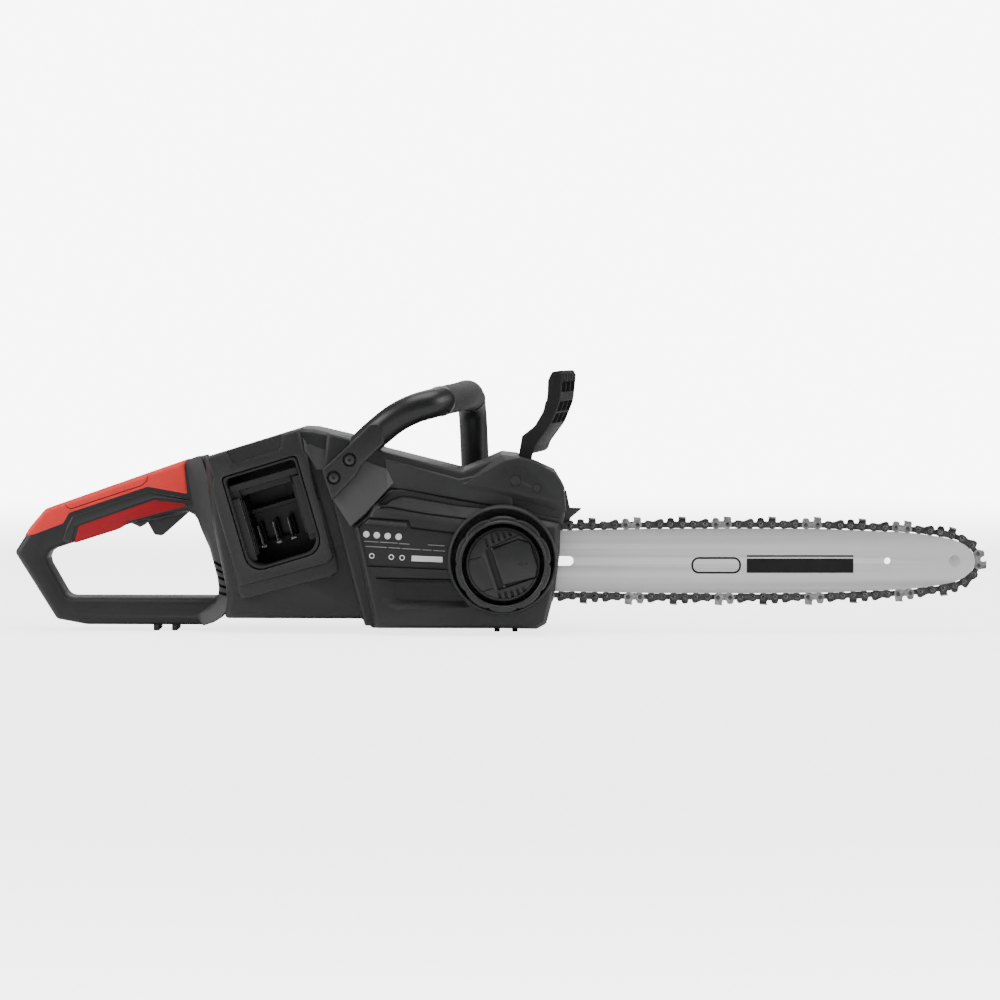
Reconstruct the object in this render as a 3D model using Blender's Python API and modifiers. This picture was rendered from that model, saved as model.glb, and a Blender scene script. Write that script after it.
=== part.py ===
"""A battery chainsaw with a 35 cm bar, without its battery: one object for each separate piece.

The saw lies with its bar along +X, its sprocket cover facing -Y and its feet on Z = 0.
Outlines are lists of (x, z) or (x, z, corner radius) in millimetres, seen from the cover's side, with the
bar stud's axis at x = 0. An empty named "chainsaw" carries them to the object's own frame.
"""

import math

import bmesh
import bpy
from mathutils import Matrix, Vector

MM = 0.001
GAP = 0.3

# ---------------------------------------------------------------- driving dimensions, in millimetres
FRAME_SHIFT = (4.931, -10.511, 1.5)  # carries the drawing frame to the middle of the object's footprint
GROUND = -1.5

WALL = 3.0
BODY_HALF = 50.0
GRIP_HALF = 18.0
GRIP_SKIN = 3.0

STUD_Z = 59.6
BAR_Y = -33.0
BAR_THICKNESS = 4.4
BAR_AXIS_Z = 59.7
NOSE_X = 382.6

PITCH = 9.525
DRIVE_LINKS = 52
SIDE_LINK_SPAN = 10.3
SPROCKET_X = -50.9
SPROCKET_TEETH = 6
NOSE_TEETH = 7
SPROCKET_RIVET_RADIUS = 18.4
RIVET_ABOVE_EDGE = 3.7

POCKET_FLOOR_Y = -26.0
COVER_FACE_Y = -62.0
COVER_INNER_Y = -28.0
DISH_CENTRE = (-0.4, 62.2)
DISH_RADIUS = 43.8
DISH_FLOOR_Y = -52.0
RIM_Y = -66.0

MOTOR_Z = 97.1
GEAR_TEETH = 32
PINION_TEETH = 8

GUARD_PIVOT = (12.0, 115.0)
TRIGGER_PIVOT = (-274.0, 107.5)
OIL_CAP = (18.0, 34.0)

# ---------------------------------------------------------------- outlines
BODY_OUTLINE = [
    (-263, 147.6), (-170.1, 172.9, 4), (-159.4, 172.4, 4), (-131, 165.7), (-101, 153.9), (-33.8, 137.0, 3),
    (-1, 151, 5), (12.6, 149.4, 8), (44.6, 135.3, 4), (52, 123.4, 4), (53.7, 108), (51.4, 91), (44.7, 36),
    (36.5, 6.5, 3), (28.7, 2.4, 3), (-110.6, 2.6, 4), (-119.9, 10.5), (-236, 10.9), (-229, 26), (-245.5, 94),
]
HANDLE_OUTLINE = [
    (-417.1, 65.7, 4), (-403.8, 86.2, 3), (-390.2, 102.6, 10), (-262, 147.2), (-240, 146), (-232, 93),
    (-215, 26), (-233, 12.4), (-240, 8.2, 10), (-252.6, 2.8, 8), (-355.9, 3.7, 12), (-381.7, 8.5, 5),
]
HANDLE_OPENING = [
    (-393.2, 65.2, 8), (-317.5, 90.7), (-264.5, 101.5, 8), (-250.5, 71, 40), (-242, 38, 15),
    (-242.3, 27.2, 5), (-371.8, 27.4, 9),
]
TRIGGER_LUG = [(-310.3, 87.3, 1), (-305.5, 92.0, 1)]
HANDLE_LUMEN = [
    (-225, 136), (-262, 139), (-386.5, 96), (-398.5, 84), (-409.3, 66.5), (-378, 15.2), (-354, 10.5),
    (-254, 9.5), (-254, 20.5), (-375, 20.8), (-400.8, 66.5), (-395, 73.5), (-375, 82.5), (-318, 102),
    (-262, 114), (-225, 112),
]
GRIP_TOP_OUTLINE = [
    (-403.8, 86.2, 3), (-390.2, 102.6, 10), (-269.4, 145.0, 1), (-266.2, 112.8, 1), (-302.3, 119.4, 4),
    (-368.0, 97.6, 2), (-373.2, 88.6, 2), (-400.2, 78.4), (-408.0, 79.6),
]
GRIP_LOWER_OUTLINE = [
    (-366.0, 73.2, 1), (-362.1, 88.8, 3), (-297.2, 111.0, 3), (-271.0, 107.9, 1), (-268.0, 105.2, 1),
    (-318.5, 94.6), (-328.0, 85.4, 1),
]
BAY_OUTLINE = [(-236.9, 131.2, 4), (-173.8, 150.1, 4), (-150.6, 69.0, 14), (-213.5, 50.0, 14)]
COVER_OUTLINE = [
    (-125.9, 89.9, 2), (-114.1, 99.9), (-108.9, 109.4, 3), (-95.5, 120.7, 6), (-85.4, 121.0, 6),
    (-36, 110.8), (20.9, 101.5), (48.6, 96.0, 2), (48.0, 69.1), (44.2, 37.1), (36.7, 8.2, 3),
    (28.5, 4.0, 3), (-108.0, 4.2, 3),
]
POCKET_OUTLINE = COVER_OUTLINE[:7] + [(60, 93.7), (60, -6), (-106, -6)]
BAR_HALF_EDGE = [
    (-28, 12, 5), (-8, 21.5, 10), (8, 25.4), (52, 25.9), (124, 27.2), (200, 27.5), (268, 27.1), (336, 24.3),
    (352, 22.9), (370, 20.4), (382, 17.9), (390.6, 14.1), (396.6, 8.9), (399.6, 3.2),
]
HANDLE_PLATE = [
    (-152.2, 137.5, 3), (-123.2, 164.5), (-110.2, 177.3, 8), (-98.0, 174.9, 5), (-100.6, 158.8),
    (-118.2, 142.4, 4), (-123.4, 132.7, 5), (-144.0, 111.5, 2),
]
HANDLE_ROUTE = [
    (-122, -50, 153.5), (-107.5, -50, 167.2), (-90.7, -50, 180.6), (-74.5, -49, 188.9), (-59, -43, 193.4),
    (-49, -28, 195.9), (-41, -5, 197.3), (-35, 25, 198.6), (-31, 55, 199.3), (-28.5, 74, 196.0),
    (-27, 84, 184.5), (-25.8, 86, 165), (-24.0, 86, 120), (-22.5, 83, 88), (-21.5, 73, 66), (-21, 60, 55),
]
GUARD_PROFILE = [
    (5.6, 108.6, 5.9), (18.4, 108.6, 5.9), (19.5, 120), (25.0, 150), (27.2, 157), (39.3, 174.7, 18),
    (48.0, 196, 20), (50.0, 216.5, 2), (47.5, 220.9, 2), (41.0, 219.8, 3), (37.6, 212.8),
    (37.0, 200, 20), (34.5, 186.4, 14), (27.0, 173.5, 6), (16.1, 165.0, 2), (13.6, 150),
]
TRIGGER_OUTLINE = [
    (-305.3, 92.6), (-298.4, 80.0, 3), (-292.0, 79.2, 3), (-269.5, 99.0, 2), (-267.8, 106, 4), (-271, 113, 4),
    (-279, 112, 3), (-282, 104.5), (-304.6, 98.2, 1),
]
TRIGGER_SLOT = [(-312.5, 78), (-312.5, 107), (-285, 114), (-284, 118), (-263.5, 118), (-263.5, 78)]
TAB_OUTLINE = [(-9.8, 71.4), (12.9, 80.4, 2), (22.4, 77.4, 2), (29.0, 58.0, 3), (27.5, 49.0, 2), (-0.2, 42.2)]
TAB_AXIS_START, TAB_AXIS_END = (-9.1, 71.9), (0.8, 42.2)
TAB_AXIS_Y = -72.0


# ---------------------------------------------------------------- scene and collections
def clear_scene():
    for old in list(bpy.data.objects):
        bpy.data.objects.remove(old)
    for old in list(bpy.data.collections):
        bpy.data.collections.remove(old)


def new_collection(name):
    made = bpy.data.collections.new(name)
    bpy.context.scene.collection.children.link(made)
    return made


clear_scene()
SAW = new_collection("chainsaw")
CUTTERS = new_collection("cutters")
ROOT = bpy.data.objects.new("chainsaw", None)
ROOT.location = Vector(FRAME_SHIFT) * MM
SAW.objects.link(ROOT)


def material(name, color, roughness, metallic=0.0):
    made = bpy.data.materials.new(name)
    made.use_nodes = True
    shader = made.node_tree.nodes["Principled BSDF"]
    shader.inputs["Base Color"].default_value = (*color, 1.0)
    shader.inputs["Roughness"].default_value = roughness
    shader.inputs["Metallic"].default_value = metallic
    return made


CASE = material("case_plastic", (0.030, 0.030, 0.031), 0.55)
GRIP_RED = material("red_grip", (0.62, 0.035, 0.03), 0.6)
RUBBER = material("rubber", (0.04, 0.04, 0.042), 0.85)
DARK = material("dark_plastic", (0.02, 0.02, 0.021), 0.5)
STEEL = material("bar_steel", (0.62, 0.62, 0.61), 0.35, 1.0)
CHAIN_STEEL = material("chain_steel", (0.10, 0.10, 0.105), 0.4, 1.0)
BLACK_STEEL = material("black_steel", (0.03, 0.03, 0.03), 0.4, 0.9)
BRASS = material("terminal_brass", (0.75, 0.62, 0.35), 0.3, 1.0)
COPPER = material("motor_metal", (0.35, 0.35, 0.36), 0.4, 1.0)
BOARD = material("board", (0.03, 0.15, 0.06), 0.5)
TANK = material("tank_plastic", (0.55, 0.55, 0.50), 0.4)


# ---------------------------------------------------------------- outline geometry
def signed_area(points):
    pairs = zip(points, points[1:] + points[:1])
    return sum(a[0] * b[1] - b[0] * a[1] for a, b in pairs) / 2


def rounded(corners, steps=4):
    """The outline with an arc at each corner that states a radius."""
    made = []
    count = len(corners)
    for i, corner in enumerate(corners):
        here = Vector(corner[:2])
        if len(corner) < 3:
            made.append(tuple(here))
            continue
        before, after = Vector(corners[i - 1][:2]), Vector(corners[(i + 1) % count][:2])
        back, on = (before - here).normalized(), (after - here).normalized()
        half = math.acos(max(-1.0, min(1.0, back.dot(on)))) / 2
        reach = corner[2] / math.tan(half)
        reach = min(reach, 0.45 * (before - here).length, 0.45 * (after - here).length)
        radius = reach * math.tan(half)
        centre = here + (back + on).normalized() * (radius / math.sin(half))
        start, end = here + back * reach - centre, here + on * reach - centre
        turn = start.angle_signed(end)
        for k in range(steps + 1):
            angle = -turn * k / steps
            made.append(tuple(centre + Matrix.Rotation(angle, 2) @ start))
    return made


def offset(corners, distance):
    """The corners moved outwards by distance, or inwards if it is negative, with their radii."""
    side = 1 if signed_area(corners) > 0 else -1
    made = []
    for i, corner in enumerate(corners):
        here = Vector(corner[:2])
        back = (here - Vector(corners[i - 1][:2])).normalized()
        on = (Vector(corners[(i + 1) % len(corners)][:2]) - here).normalized()
        normal_back = Vector((back.y, -back.x)) * side
        normal_on = Vector((on.y, -on.x)) * side
        middle = (normal_back + normal_on).normalized()
        stretch = distance / max(0.35, middle.dot(normal_on))
        made.append((*(here + middle * stretch), *corner[2:]))
    return made


def grown(corners, distance):
    return rounded(offset(corners, distance))


def circle(x, z, radius, sides=32, start=0.0):
    step = 2 * math.pi / sides
    angles = [start + i * step for i in range(sides)]
    return [(x + radius * math.cos(angle), z + radius * math.sin(angle)) for angle in angles]


def box_outline(x0, z0, x1, z1):
    return [(x0, z0), (x1, z0), (x1, z1), (x0, z1)]


def toothed(x, z, root, tip, teeth, tooth_share=0.5, turn=0.0):
    """A gear or sprocket outline whose teeth have straight flanks."""
    made = []
    step = 2 * math.pi / teeth
    for i in range(teeth):
        centre = turn + i * step
        for radius, at in ((root, -tooth_share * 0.62), (tip, -tooth_share * 0.34), (tip, tooth_share * 0.34),
                           (root, tooth_share * 0.62)):
            angle = centre + at * step
            made.append((x + radius * math.cos(angle), z + radius * math.sin(angle)))
    return made


# ---------------------------------------------------------------- solids
def add_object(name, mesh, finish, collection=None):
    obj = bpy.data.objects.new(name, mesh)
    (collection or SAW).objects.link(obj)
    obj.parent = ROOT
    if finish is not None:
        mesh.materials.append(finish)
    return obj


def as_mesh(curve_object, name, finish):
    """The curve's evaluated shape as a mesh object with its caps welded on."""
    bpy.context.view_layer.update()
    graph = bpy.context.evaluated_depsgraph_get()
    mesh = bpy.data.meshes.new_from_object(curve_object.evaluated_get(graph))
    placed = curve_object.matrix_world.copy()
    bpy.data.objects.remove(curve_object)
    work = bmesh.new()
    work.from_mesh(mesh)
    bmesh.ops.remove_doubles(work, verts=work.verts, dist=2e-6)
    bmesh.ops.transform(work, matrix=placed, verts=work.verts)
    bmesh.ops.recalc_face_normals(work, faces=work.faces)
    work.to_mesh(mesh)
    work.free()
    mesh.materials.clear()
    return add_object(name, mesh, finish)


def extruded(name, outlines, y0, y1, finish=None):
    """A flat outline, with any holes after the first, as a slab from y0 to y1."""
    curve = bpy.data.curves.new(name, "CURVE")
    curve.dimensions = "2D"
    curve.fill_mode = "BOTH"
    curve.extrude = abs(y1 - y0) / 2 * MM
    for points in outlines:
        spline = curve.splines.new("POLY")
        spline.points.add(len(points) - 1)
        for place, (x, z) in zip(spline.points, points):
            place.co = (x * MM, z * MM, 0, 1)
        spline.use_cyclic_u = True
    flat = bpy.data.objects.new(name, curve)
    bpy.context.scene.collection.objects.link(flat)
    flat.rotation_euler = (math.pi / 2, 0, 0)
    flat.location = (0, (y0 + y1) / 2 * MM, 0)
    return as_mesh(flat, name, finish)


def cylinder(name, x, z, radius, y0, y1, finish=None, sides=32, end_radius=None):
    """A round bar along Y; end_radius is its radius at y1 where it tapers."""
    work = bmesh.new()
    far_radius = radius if end_radius is None else end_radius
    bmesh.ops.create_cone(work, cap_ends=True, segments=sides, radius1=radius * MM,
                          radius2=far_radius * MM, depth=abs(y1 - y0) * MM)
    place = Matrix.Translation(Vector((x, (y0 + y1) / 2, z)) * MM) @ Matrix.Rotation(-math.pi / 2, 4, "X")
    bmesh.ops.transform(work, matrix=place, verts=work.verts)
    mesh = bpy.data.meshes.new(name)
    work.to_mesh(mesh)
    work.free()
    mesh.shade_smooth()
    mesh.set_sharp_from_angle(angle=math.radians(35))
    return add_object(name, mesh, finish)


def block(name, low, high, finish=None, turn=0.0):
    """A box between two corners, turned about Y through its middle by turn degrees."""
    low, high = Vector(low), Vector(high)
    work = bmesh.new()
    bmesh.ops.create_cube(work, size=MM)
    place = Matrix.Translation((low + high) / 2 * MM) @ Matrix.Rotation(math.radians(turn), 4, "Y")
    bmesh.ops.transform(work, matrix=place @ Matrix.Diagonal((*(high - low), 1)), verts=work.verts)
    mesh = bpy.data.meshes.new(name)
    work.to_mesh(mesh)
    work.free()
    return add_object(name, mesh, finish)


def tube(name, route, radius, finish, sides=4, smooth_steps=0):
    """A round tube along a route of (x, y, z) points, with closed ends."""
    if smooth_steps:
        route = smooth_route(route, smooth_steps)
    curve = bpy.data.curves.new(name, "CURVE")
    curve.dimensions = "3D"
    curve.bevel_depth = radius * MM
    curve.bevel_resolution = sides
    curve.use_fill_caps = True
    spline = curve.splines.new("POLY")
    spline.points.add(len(route) - 1)
    for place, point in zip(spline.points, route):
        place.co = (*(Vector(point) * MM), 1)
    line = bpy.data.objects.new(name, curve)
    bpy.context.scene.collection.objects.link(line)
    return as_mesh(line, name, finish)


def smooth_route(points, steps):
    """Catmull-Rom points through a route."""
    ends = [Vector(points[0]) * 2 - Vector(points[1])] + [Vector(p) for p in points]
    ends.append(Vector(points[-1]) * 2 - Vector(points[-2]))
    made = []
    for a, b, c, d in zip(ends, ends[1:], ends[2:], ends[3:]):
        for k in range(steps):
            t = k / steps
            made.append(0.5 * ((2 * b) + (c - a) * t + (2 * a - 5 * b + 4 * c - d) * t**2
                               + (3 * b - a - 3 * c + d) * t**3))
    made.append(ends[-2])
    return made


def helper(obj):
    """Makes an object a tool for Booleans only."""
    for collection in list(obj.users_collection):
        collection.objects.unlink(obj)
    CUTTERS.objects.link(obj)
    obj.hide_render = True
    obj.display_type = "WIRE"
    return obj


def combine(obj, others, operation):
    for other in others:
        helper(other)
        step = obj.modifiers.new(f"{operation.lower()} {other.name}", "BOOLEAN")
        step.operation = operation
        step.object = other
    return obj


def cut(obj, *tools):
    return combine(obj, tools, "DIFFERENCE")


def join(obj, *tools):
    return combine(obj, tools, "UNION")


def set_axis(obj, x, z, y=0.0):
    """Moves an object's origin to a point on its joint's axis and leaves its shape in place."""
    pivot = Vector((x, y, z)) * MM
    obj.data.transform(Matrix.Translation(-pivot))
    obj.location = pivot
    return obj


# ---------------------------------------------------------------- clamshell housing
BODY = rounded(BODY_OUTLINE)
HANDLE = rounded(HANDLE_OUTLINE)
OPENING = rounded(HANDLE_OPENING[:2] + TRIGGER_LUG + HANDLE_OPENING[2:])
BAY = rounded(BAY_OUTLINE)
COVER = rounded(COVER_OUTLINE)


def grip_core(name, y0, y1, inset):
    return extruded(name, [grown(HANDLE_OUTLINE, -inset), grown(HANDLE_OPENING, inset + 4)], y0, y1)


def housing_half(name, outer, inner):
    """One half of the clamshell, from the parting plane at y = inner out to y = outer."""
    side = 1 if outer > 0 else -1
    handle = extruded(f"{name}_handle", [HANDLE, OPENING], side * -7, side * GRIP_HALF)
    for part, outline in (("top", GRIP_TOP_OUTLINE), ("lower", GRIP_LOWER_OUTLINE)):
        seat = extruded(f"{name}_{part}_seat", [grown(outline, GAP + 0.1)], side * -9, side * (GRIP_HALF + 2))
        core_reach = side * (GRIP_HALF - GRIP_SKIN - GAP)
        cut(seat, grip_core(f"{name}_{part}_core", side * -11, core_reach, GRIP_SKIN + GAP))
        cut(handle, seat)
    half = extruded(name, [BODY], side * -5, outer, CASE)
    join(half, handle)
    low_y, high_y = sorted((inner, side * -15))
    cut(half, block(f"{name}_parting", (-450, low_y, -20), (100, high_y, 200)))
    cut(half, extruded(f"{name}_lumen", [HANDLE_LUMEN], side * -1, side * 11.5))
    return half


def trigger_slot(name):
    return extruded(name, [TRIGGER_SLOT], -7.2, 7.2)


def button_hole(name):
    return block(name, (-301, 10, 107.6), (-279, 30, 119.4), turn=-18)


def make_right_half():
    half = housing_half("housing_right", -BODY_HALF, -GAP / 2)
    hollow = extruded("hollow_right", [grown(BODY_OUTLINE, -WALL)], -BODY_HALF + WALL, 1)
    cut(hollow, extruded("pocket_wall", [grown(POCKET_OUTLINE, WALL + 0.6)],
                         -BODY_HALF - 5, POCKET_FLOOR_Y + WALL))
    pocket = extruded("cover_pocket", [grown(POCKET_OUTLINE, 0.6)], -BODY_HALF - 5, POCKET_FLOOR_Y)
    cut(half, hollow, pocket)
    pad = extruded("bar_pad", [rounded([(-14, 44, 6), (37, 44, 6), (37, 66, 3), (-14, 66, 3)])],
                   POCKET_FLOOR_Y + 1, BAR_Y + BAR_THICKNESS / 2 + GAP)
    join(half, pad)
    cut(half,
        extruded("bay_mouth", [BAY], -BODY_HALF - 5, -BODY_HALF + 8),
        cylinder("stud_hole", 0, STUD_Z, 4.4, -40, -18, sides=24),
        cylinder("shaft_hole", SPROCKET_X, STUD_Z, 11.3, -40, -18, sides=32),
        block("slider_channel", (-13, -40, 67), (28, POCKET_FLOOR_Y - 0.4, 79)),
        block("guard_slot_right", (3.5, -39, 118), (45, -11, 170)),
        trigger_slot("trigger_slot_right"),
        cylinder("trigger_pin_hole_right", *TRIGGER_PIVOT, 2.3, -11, 1, sides=16))
    for number, (x, z) in enumerate(NEAR_SCREWS, 1):
        cut(half, cylinder(f"near_screw_hole_{number}", x, z, 2.7, -60, -40, sides=16))
    return half


def make_left_half():
    half = housing_half("housing_left", BODY_HALF, GAP / 2)
    hollow = extruded("hollow_left", [grown(BODY_OUTLINE, -WALL)], -1, BODY_HALF - WALL)
    cut(half, hollow,
        cylinder("cap_hole", *OIL_CAP, 15.4, 40, 60),
        button_hole("button_hole"),
        trigger_slot("trigger_slot_left"),
        cylinder("trigger_pin_hole_left", *TRIGGER_PIVOT, 2.3, -1, 11, sides=16))
    for number, (x, z) in enumerate(CASE_SCREWS, 1):
        boss = cylinder(f"boss_{number}", x, z, 6.5, 3, BODY_HALF - 1, sides=20)
        join(half, boss)
        cut(half, cylinder(f"counterbore_{number}", x, z, 4.8, BODY_HALF - 12, BODY_HALF + 5, sides=20),
            cylinder(f"screw_hole_{number}", x, z, 2.4, -2, BODY_HALF + 5, sides=16))
        make_screw(f"housing_screw_{number}", x, z, BODY_HALF - 12 + GAP, -1)
    for number, (x, z) in enumerate(FAR_SCREWS, 1):
        cut(half, cylinder(f"far_screw_hole_{number}", x, z, 2.7, 40, 60, sides=16))
    for number in range(6):
        x = -118 + 11 * number
        cut(half, block(f"vent_{number}", (x, BODY_HALF - 8, 84), (x + 5, BODY_HALF + 4, 122), turn=12))
    return half


NEAR_SCREWS = [(-128.6, 146.2), (-141.9, 131.3)]
FAR_SCREWS = [(-21.0, 77.5), (-21.0, 35.0)]
CASE_SCREWS = [(-222, 22), (-140, 150), (-112, 20), (38, 118)]


# ---------------------------------------------------------------- rear handle
def make_grips():
    for name, outline in (("grip_top", GRIP_TOP_OUTLINE), ("grip_lower", GRIP_LOWER_OUTLINE)):
        grip = extruded(name, [rounded(outline)], -GRIP_HALF, GRIP_HALF, GRIP_RED)
        reach = GRIP_HALF - GRIP_SKIN
        cut(grip, grip_core(f"{name}_core", -reach, reach, GRIP_SKIN), button_hole(f"{name}_button_hole"))
        if name == "grip_lower":
            cut(grip, trigger_slot("grip_trigger_slot"),
                cylinder("grip_pin_hole", *TRIGGER_PIVOT, 2.5, -12, 12, sides=16))


def make_trigger():
    trigger = extruded("trigger", [rounded(TRIGGER_OUTLINE)], -6.4, 6.4, DARK)
    cut(trigger, cylinder("trigger_bore", *TRIGGER_PIVOT, 2.1, -10, 10, sides=20))
    set_axis(trigger, *TRIGGER_PIVOT)
    cylinder("trigger_pin", *TRIGGER_PIVOT, 2.0, -10.5, 10.5, BLACK_STEEL, sides=20)
    block("switch_module", (-318, -8, 106.8), (-290, 8, 114.5), DARK, turn=-18)
    coil = []
    turns, per_turn, height = 4, 8, 6.4
    for i in range(turns * per_turn + 1):
        angle = 2 * math.pi * i / per_turn
        along = height * i / (turns * per_turn)
        coil.append((-296.5 + 1.9 * math.cos(angle), 1.9 * math.sin(angle), 101.8 + along))
    tube("trigger_spring", coil, 0.35, BLACK_STEEL, sides=1)


def make_lock_button():
    button = block("lock_button", (-300.4, 12.2, 108.2), (-279.6, GRIP_HALF + 3.2, 118.8), DARK, turn=-18)
    rounding = button.modifiers.new("round", "BEVEL")
    rounding.width = 1.2 * MM
    rounding.segments = 2


# ---------------------------------------------------------------- battery bay
BAY_MIDDLE = (-193.6, 100.2)
BAY_SLOPE = 16.4


def bay_place(along, up):
    """A point of the bay, given across and along its own tilted axes."""
    angle = math.radians(BAY_SLOPE)
    x = BAY_MIDDLE[0] + along * math.cos(angle) - up * math.sin(angle)
    return x, BAY_MIDDLE[1] + along * math.sin(angle) + up * math.cos(angle)


def bay_box(name, across, y0, y1, up, finish=None):
    (a0, a1), (u0, u1) = across, up
    corners = [bay_place(a, u) for a, u in ((a0, u0), (a1, u0), (a1, u1), (a0, u1))]
    return extruded(name, [corners], y0, y1, finish)


TRAY_FRONT_Y, TRAY_BACK_Y = -BODY_HALF + WALL + GAP, 38.0


def make_battery_bay():
    tray = extruded("battery_tray", [grown(BAY_OUTLINE, 2.5)], TRAY_FRONT_Y, TRAY_BACK_Y, DARK)
    cut(tray, extruded("bay_hollow", [BAY], TRAY_FRONT_Y - 1, TRAY_BACK_Y - 3))
    for number, (low, high) in enumerate(((-34.0, -23.0), (23.0, 34.0))):
        join(tray, bay_box(f"bay_rail_{number}", (low, high), TRAY_FRONT_Y + 8, TRAY_BACK_Y - 2, (-30, 31)))
    bay_box("terminal_block", (-21.5, 21.5), 20.0, TRAY_BACK_Y - 3 - GAP, (-24, 8), DARK)
    for number, across in enumerate((-14.0, 0.0, 14.0), 1):
        bay_box(f"terminal_blade_{number}", (across - 0.5, across + 0.5), 0.0, 20.0 - GAP, (-18, 0), BRASS)


# ---------------------------------------------------------------- front handle and hand guard
HANDLE_TUBE_RADIUS = 12.4
GRIP_FROM, GRIP_TO = 4, 9


def make_front_handle():
    plate = extruded("front_handle", [rounded(HANDLE_PLATE)], -57.5, -BODY_HALF - GAP, CASE)
    route = smooth_route(HANDLE_ROUTE, 2)
    sleeve = route[GRIP_FROM * 2 : GRIP_TO * 2 + 1]
    join(plate, tube("handle_tube", route, HANDLE_TUBE_RADIUS, None, sides=3))
    neck = tube("handle_neck", sleeve, HANDLE_TUBE_RADIUS + 4, None, sides=3)
    cut(neck, tube("handle_core", route, HANDLE_TUBE_RADIUS - 2.5, None, sides=3))
    cut(plate, neck, extruded("handle_trim", [grown(BODY_OUTLINE, 0.5)], -BODY_HALF - GAP, -15))
    flange = extruded("handle_flange", [rounded([(-33, 28, 6), (-9, 28, 6), (-9, 84.5, 6), (-33, 84.5, 6)])],
                      BODY_HALF + GAP, BODY_HALF + 7)
    join(plate, flange)
    for number, (x, z) in enumerate(NEAR_SCREWS, 1):
        cut(plate, cylinder(f"plate_hole_{number}", x, z, 2.7, -62, -48, sides=16),
            cylinder(f"plate_sink_{number}", x, z, 5.6, -62, -54.5, sides=20))
        make_screw(f"handle_screw_{number}", x, z, -54.8, 1)
    for number, (x, z) in enumerate(FAR_SCREWS, 1):
        cut(plate, cylinder(f"flange_hole_{number}", x, z, 2.7, 48, 62, sides=16))
        make_screw(f"handle_screw_{number + 2}", x, z, BODY_HALF + 7 + GAP, -1)
    grip = tube("front_handle_grip", extend(sleeve, -0.5), HANDLE_TUBE_RADIUS + 0.2, RUBBER, sides=3)
    cut(grip, tube("grip_bore", extend(sleeve, 6), HANDLE_TUBE_RADIUS - 1.6, None, sides=3))


def extend(route, reach):
    """The route with both ends drawn out straight, or in if reach is negative."""
    first, last = Vector(route[0]), Vector(route[-1])
    start = first + (first - Vector(route[1])).normalized() * reach
    end = last + (last - Vector(route[-2])).normalized() * reach
    return [start, *route[1:-1], end]


def make_screw(name, x, z, seat_y, inward):
    """A pan head screw: its head stands on seat_y, and its shank runs the way of inward."""
    screw = cylinder(name, x, z, 4.4, seat_y, seat_y - inward * 3.0, BLACK_STEEL, sides=20)
    join(screw, cylinder(f"{name}_shank", x, z, 2.2, seat_y - inward * 1.0, seat_y + inward * 12, sides=12))
    cut(screw, cylinder(f"{name}_socket", x, z, 2.0, seat_y - inward * 1.4, seat_y - inward * 5, sides=6))
    return screw


def make_guard():
    shear = 0.16
    y0, y1, arm_end = -38.0, 50.0, -16.0
    shield = rounded([p for p in GUARD_PROFILE if p[1] > 150], steps=3)
    guard = extruded("hand_guard", [shield], y0, y1, CASE)
    for vertex in guard.data.vertices:
        vertex.co.x += shear * (vertex.co.y - y0 * MM)
    arm = extruded("guard_arm", [rounded([p for p in GUARD_PROFILE if p[1] < 200], steps=3)], y0, arm_end)
    join(guard, arm)
    cut(guard, cylinder("guard_bore", *GUARD_PIVOT, 3.1, -45, 0, sides=20))
    set_axis(guard, *GUARD_PIVOT)
    cylinder("guard_pin", *GUARD_PIVOT, 3.0, -46.5, -11.0, BLACK_STEEL, sides=20)
    block("brake_switch", (-14, -36, 118), (0, -18, 128), DARK)


# ---------------------------------------------------------------- sprocket cover and clamp knob
def make_cover():
    cover = extruded("sprocket_cover", [COVER], COVER_FACE_Y, COVER_INNER_Y, CASE)
    hollow = extruded("cover_hollow", [grown(COVER_OUTLINE, -WALL)], COVER_FACE_Y + WALL, COVER_INNER_Y + 5)
    cut(hollow, cylinder("dish_body", *DISH_CENTRE, DISH_RADIUS + 2.4, COVER_FACE_Y - 5,
                         DISH_FLOOR_Y + 3.5, sides=48))
    cut(cover, hollow)
    join(cover, cylinder("dish_rim", *DISH_CENTRE, DISH_RADIUS + 2.2, RIM_Y, DISH_FLOOR_Y + 1.4, sides=48))
    cut(cover, cylinder("dish", *DISH_CENTRE, DISH_RADIUS, RIM_Y - 3, DISH_FLOOR_Y, sides=48),
        cylinder("hub_hole", 0, STUD_Z, 12.0, -60, -40),
        block("bar_mouth", (26, -47, 11), (70, -20, 110)))


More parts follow.
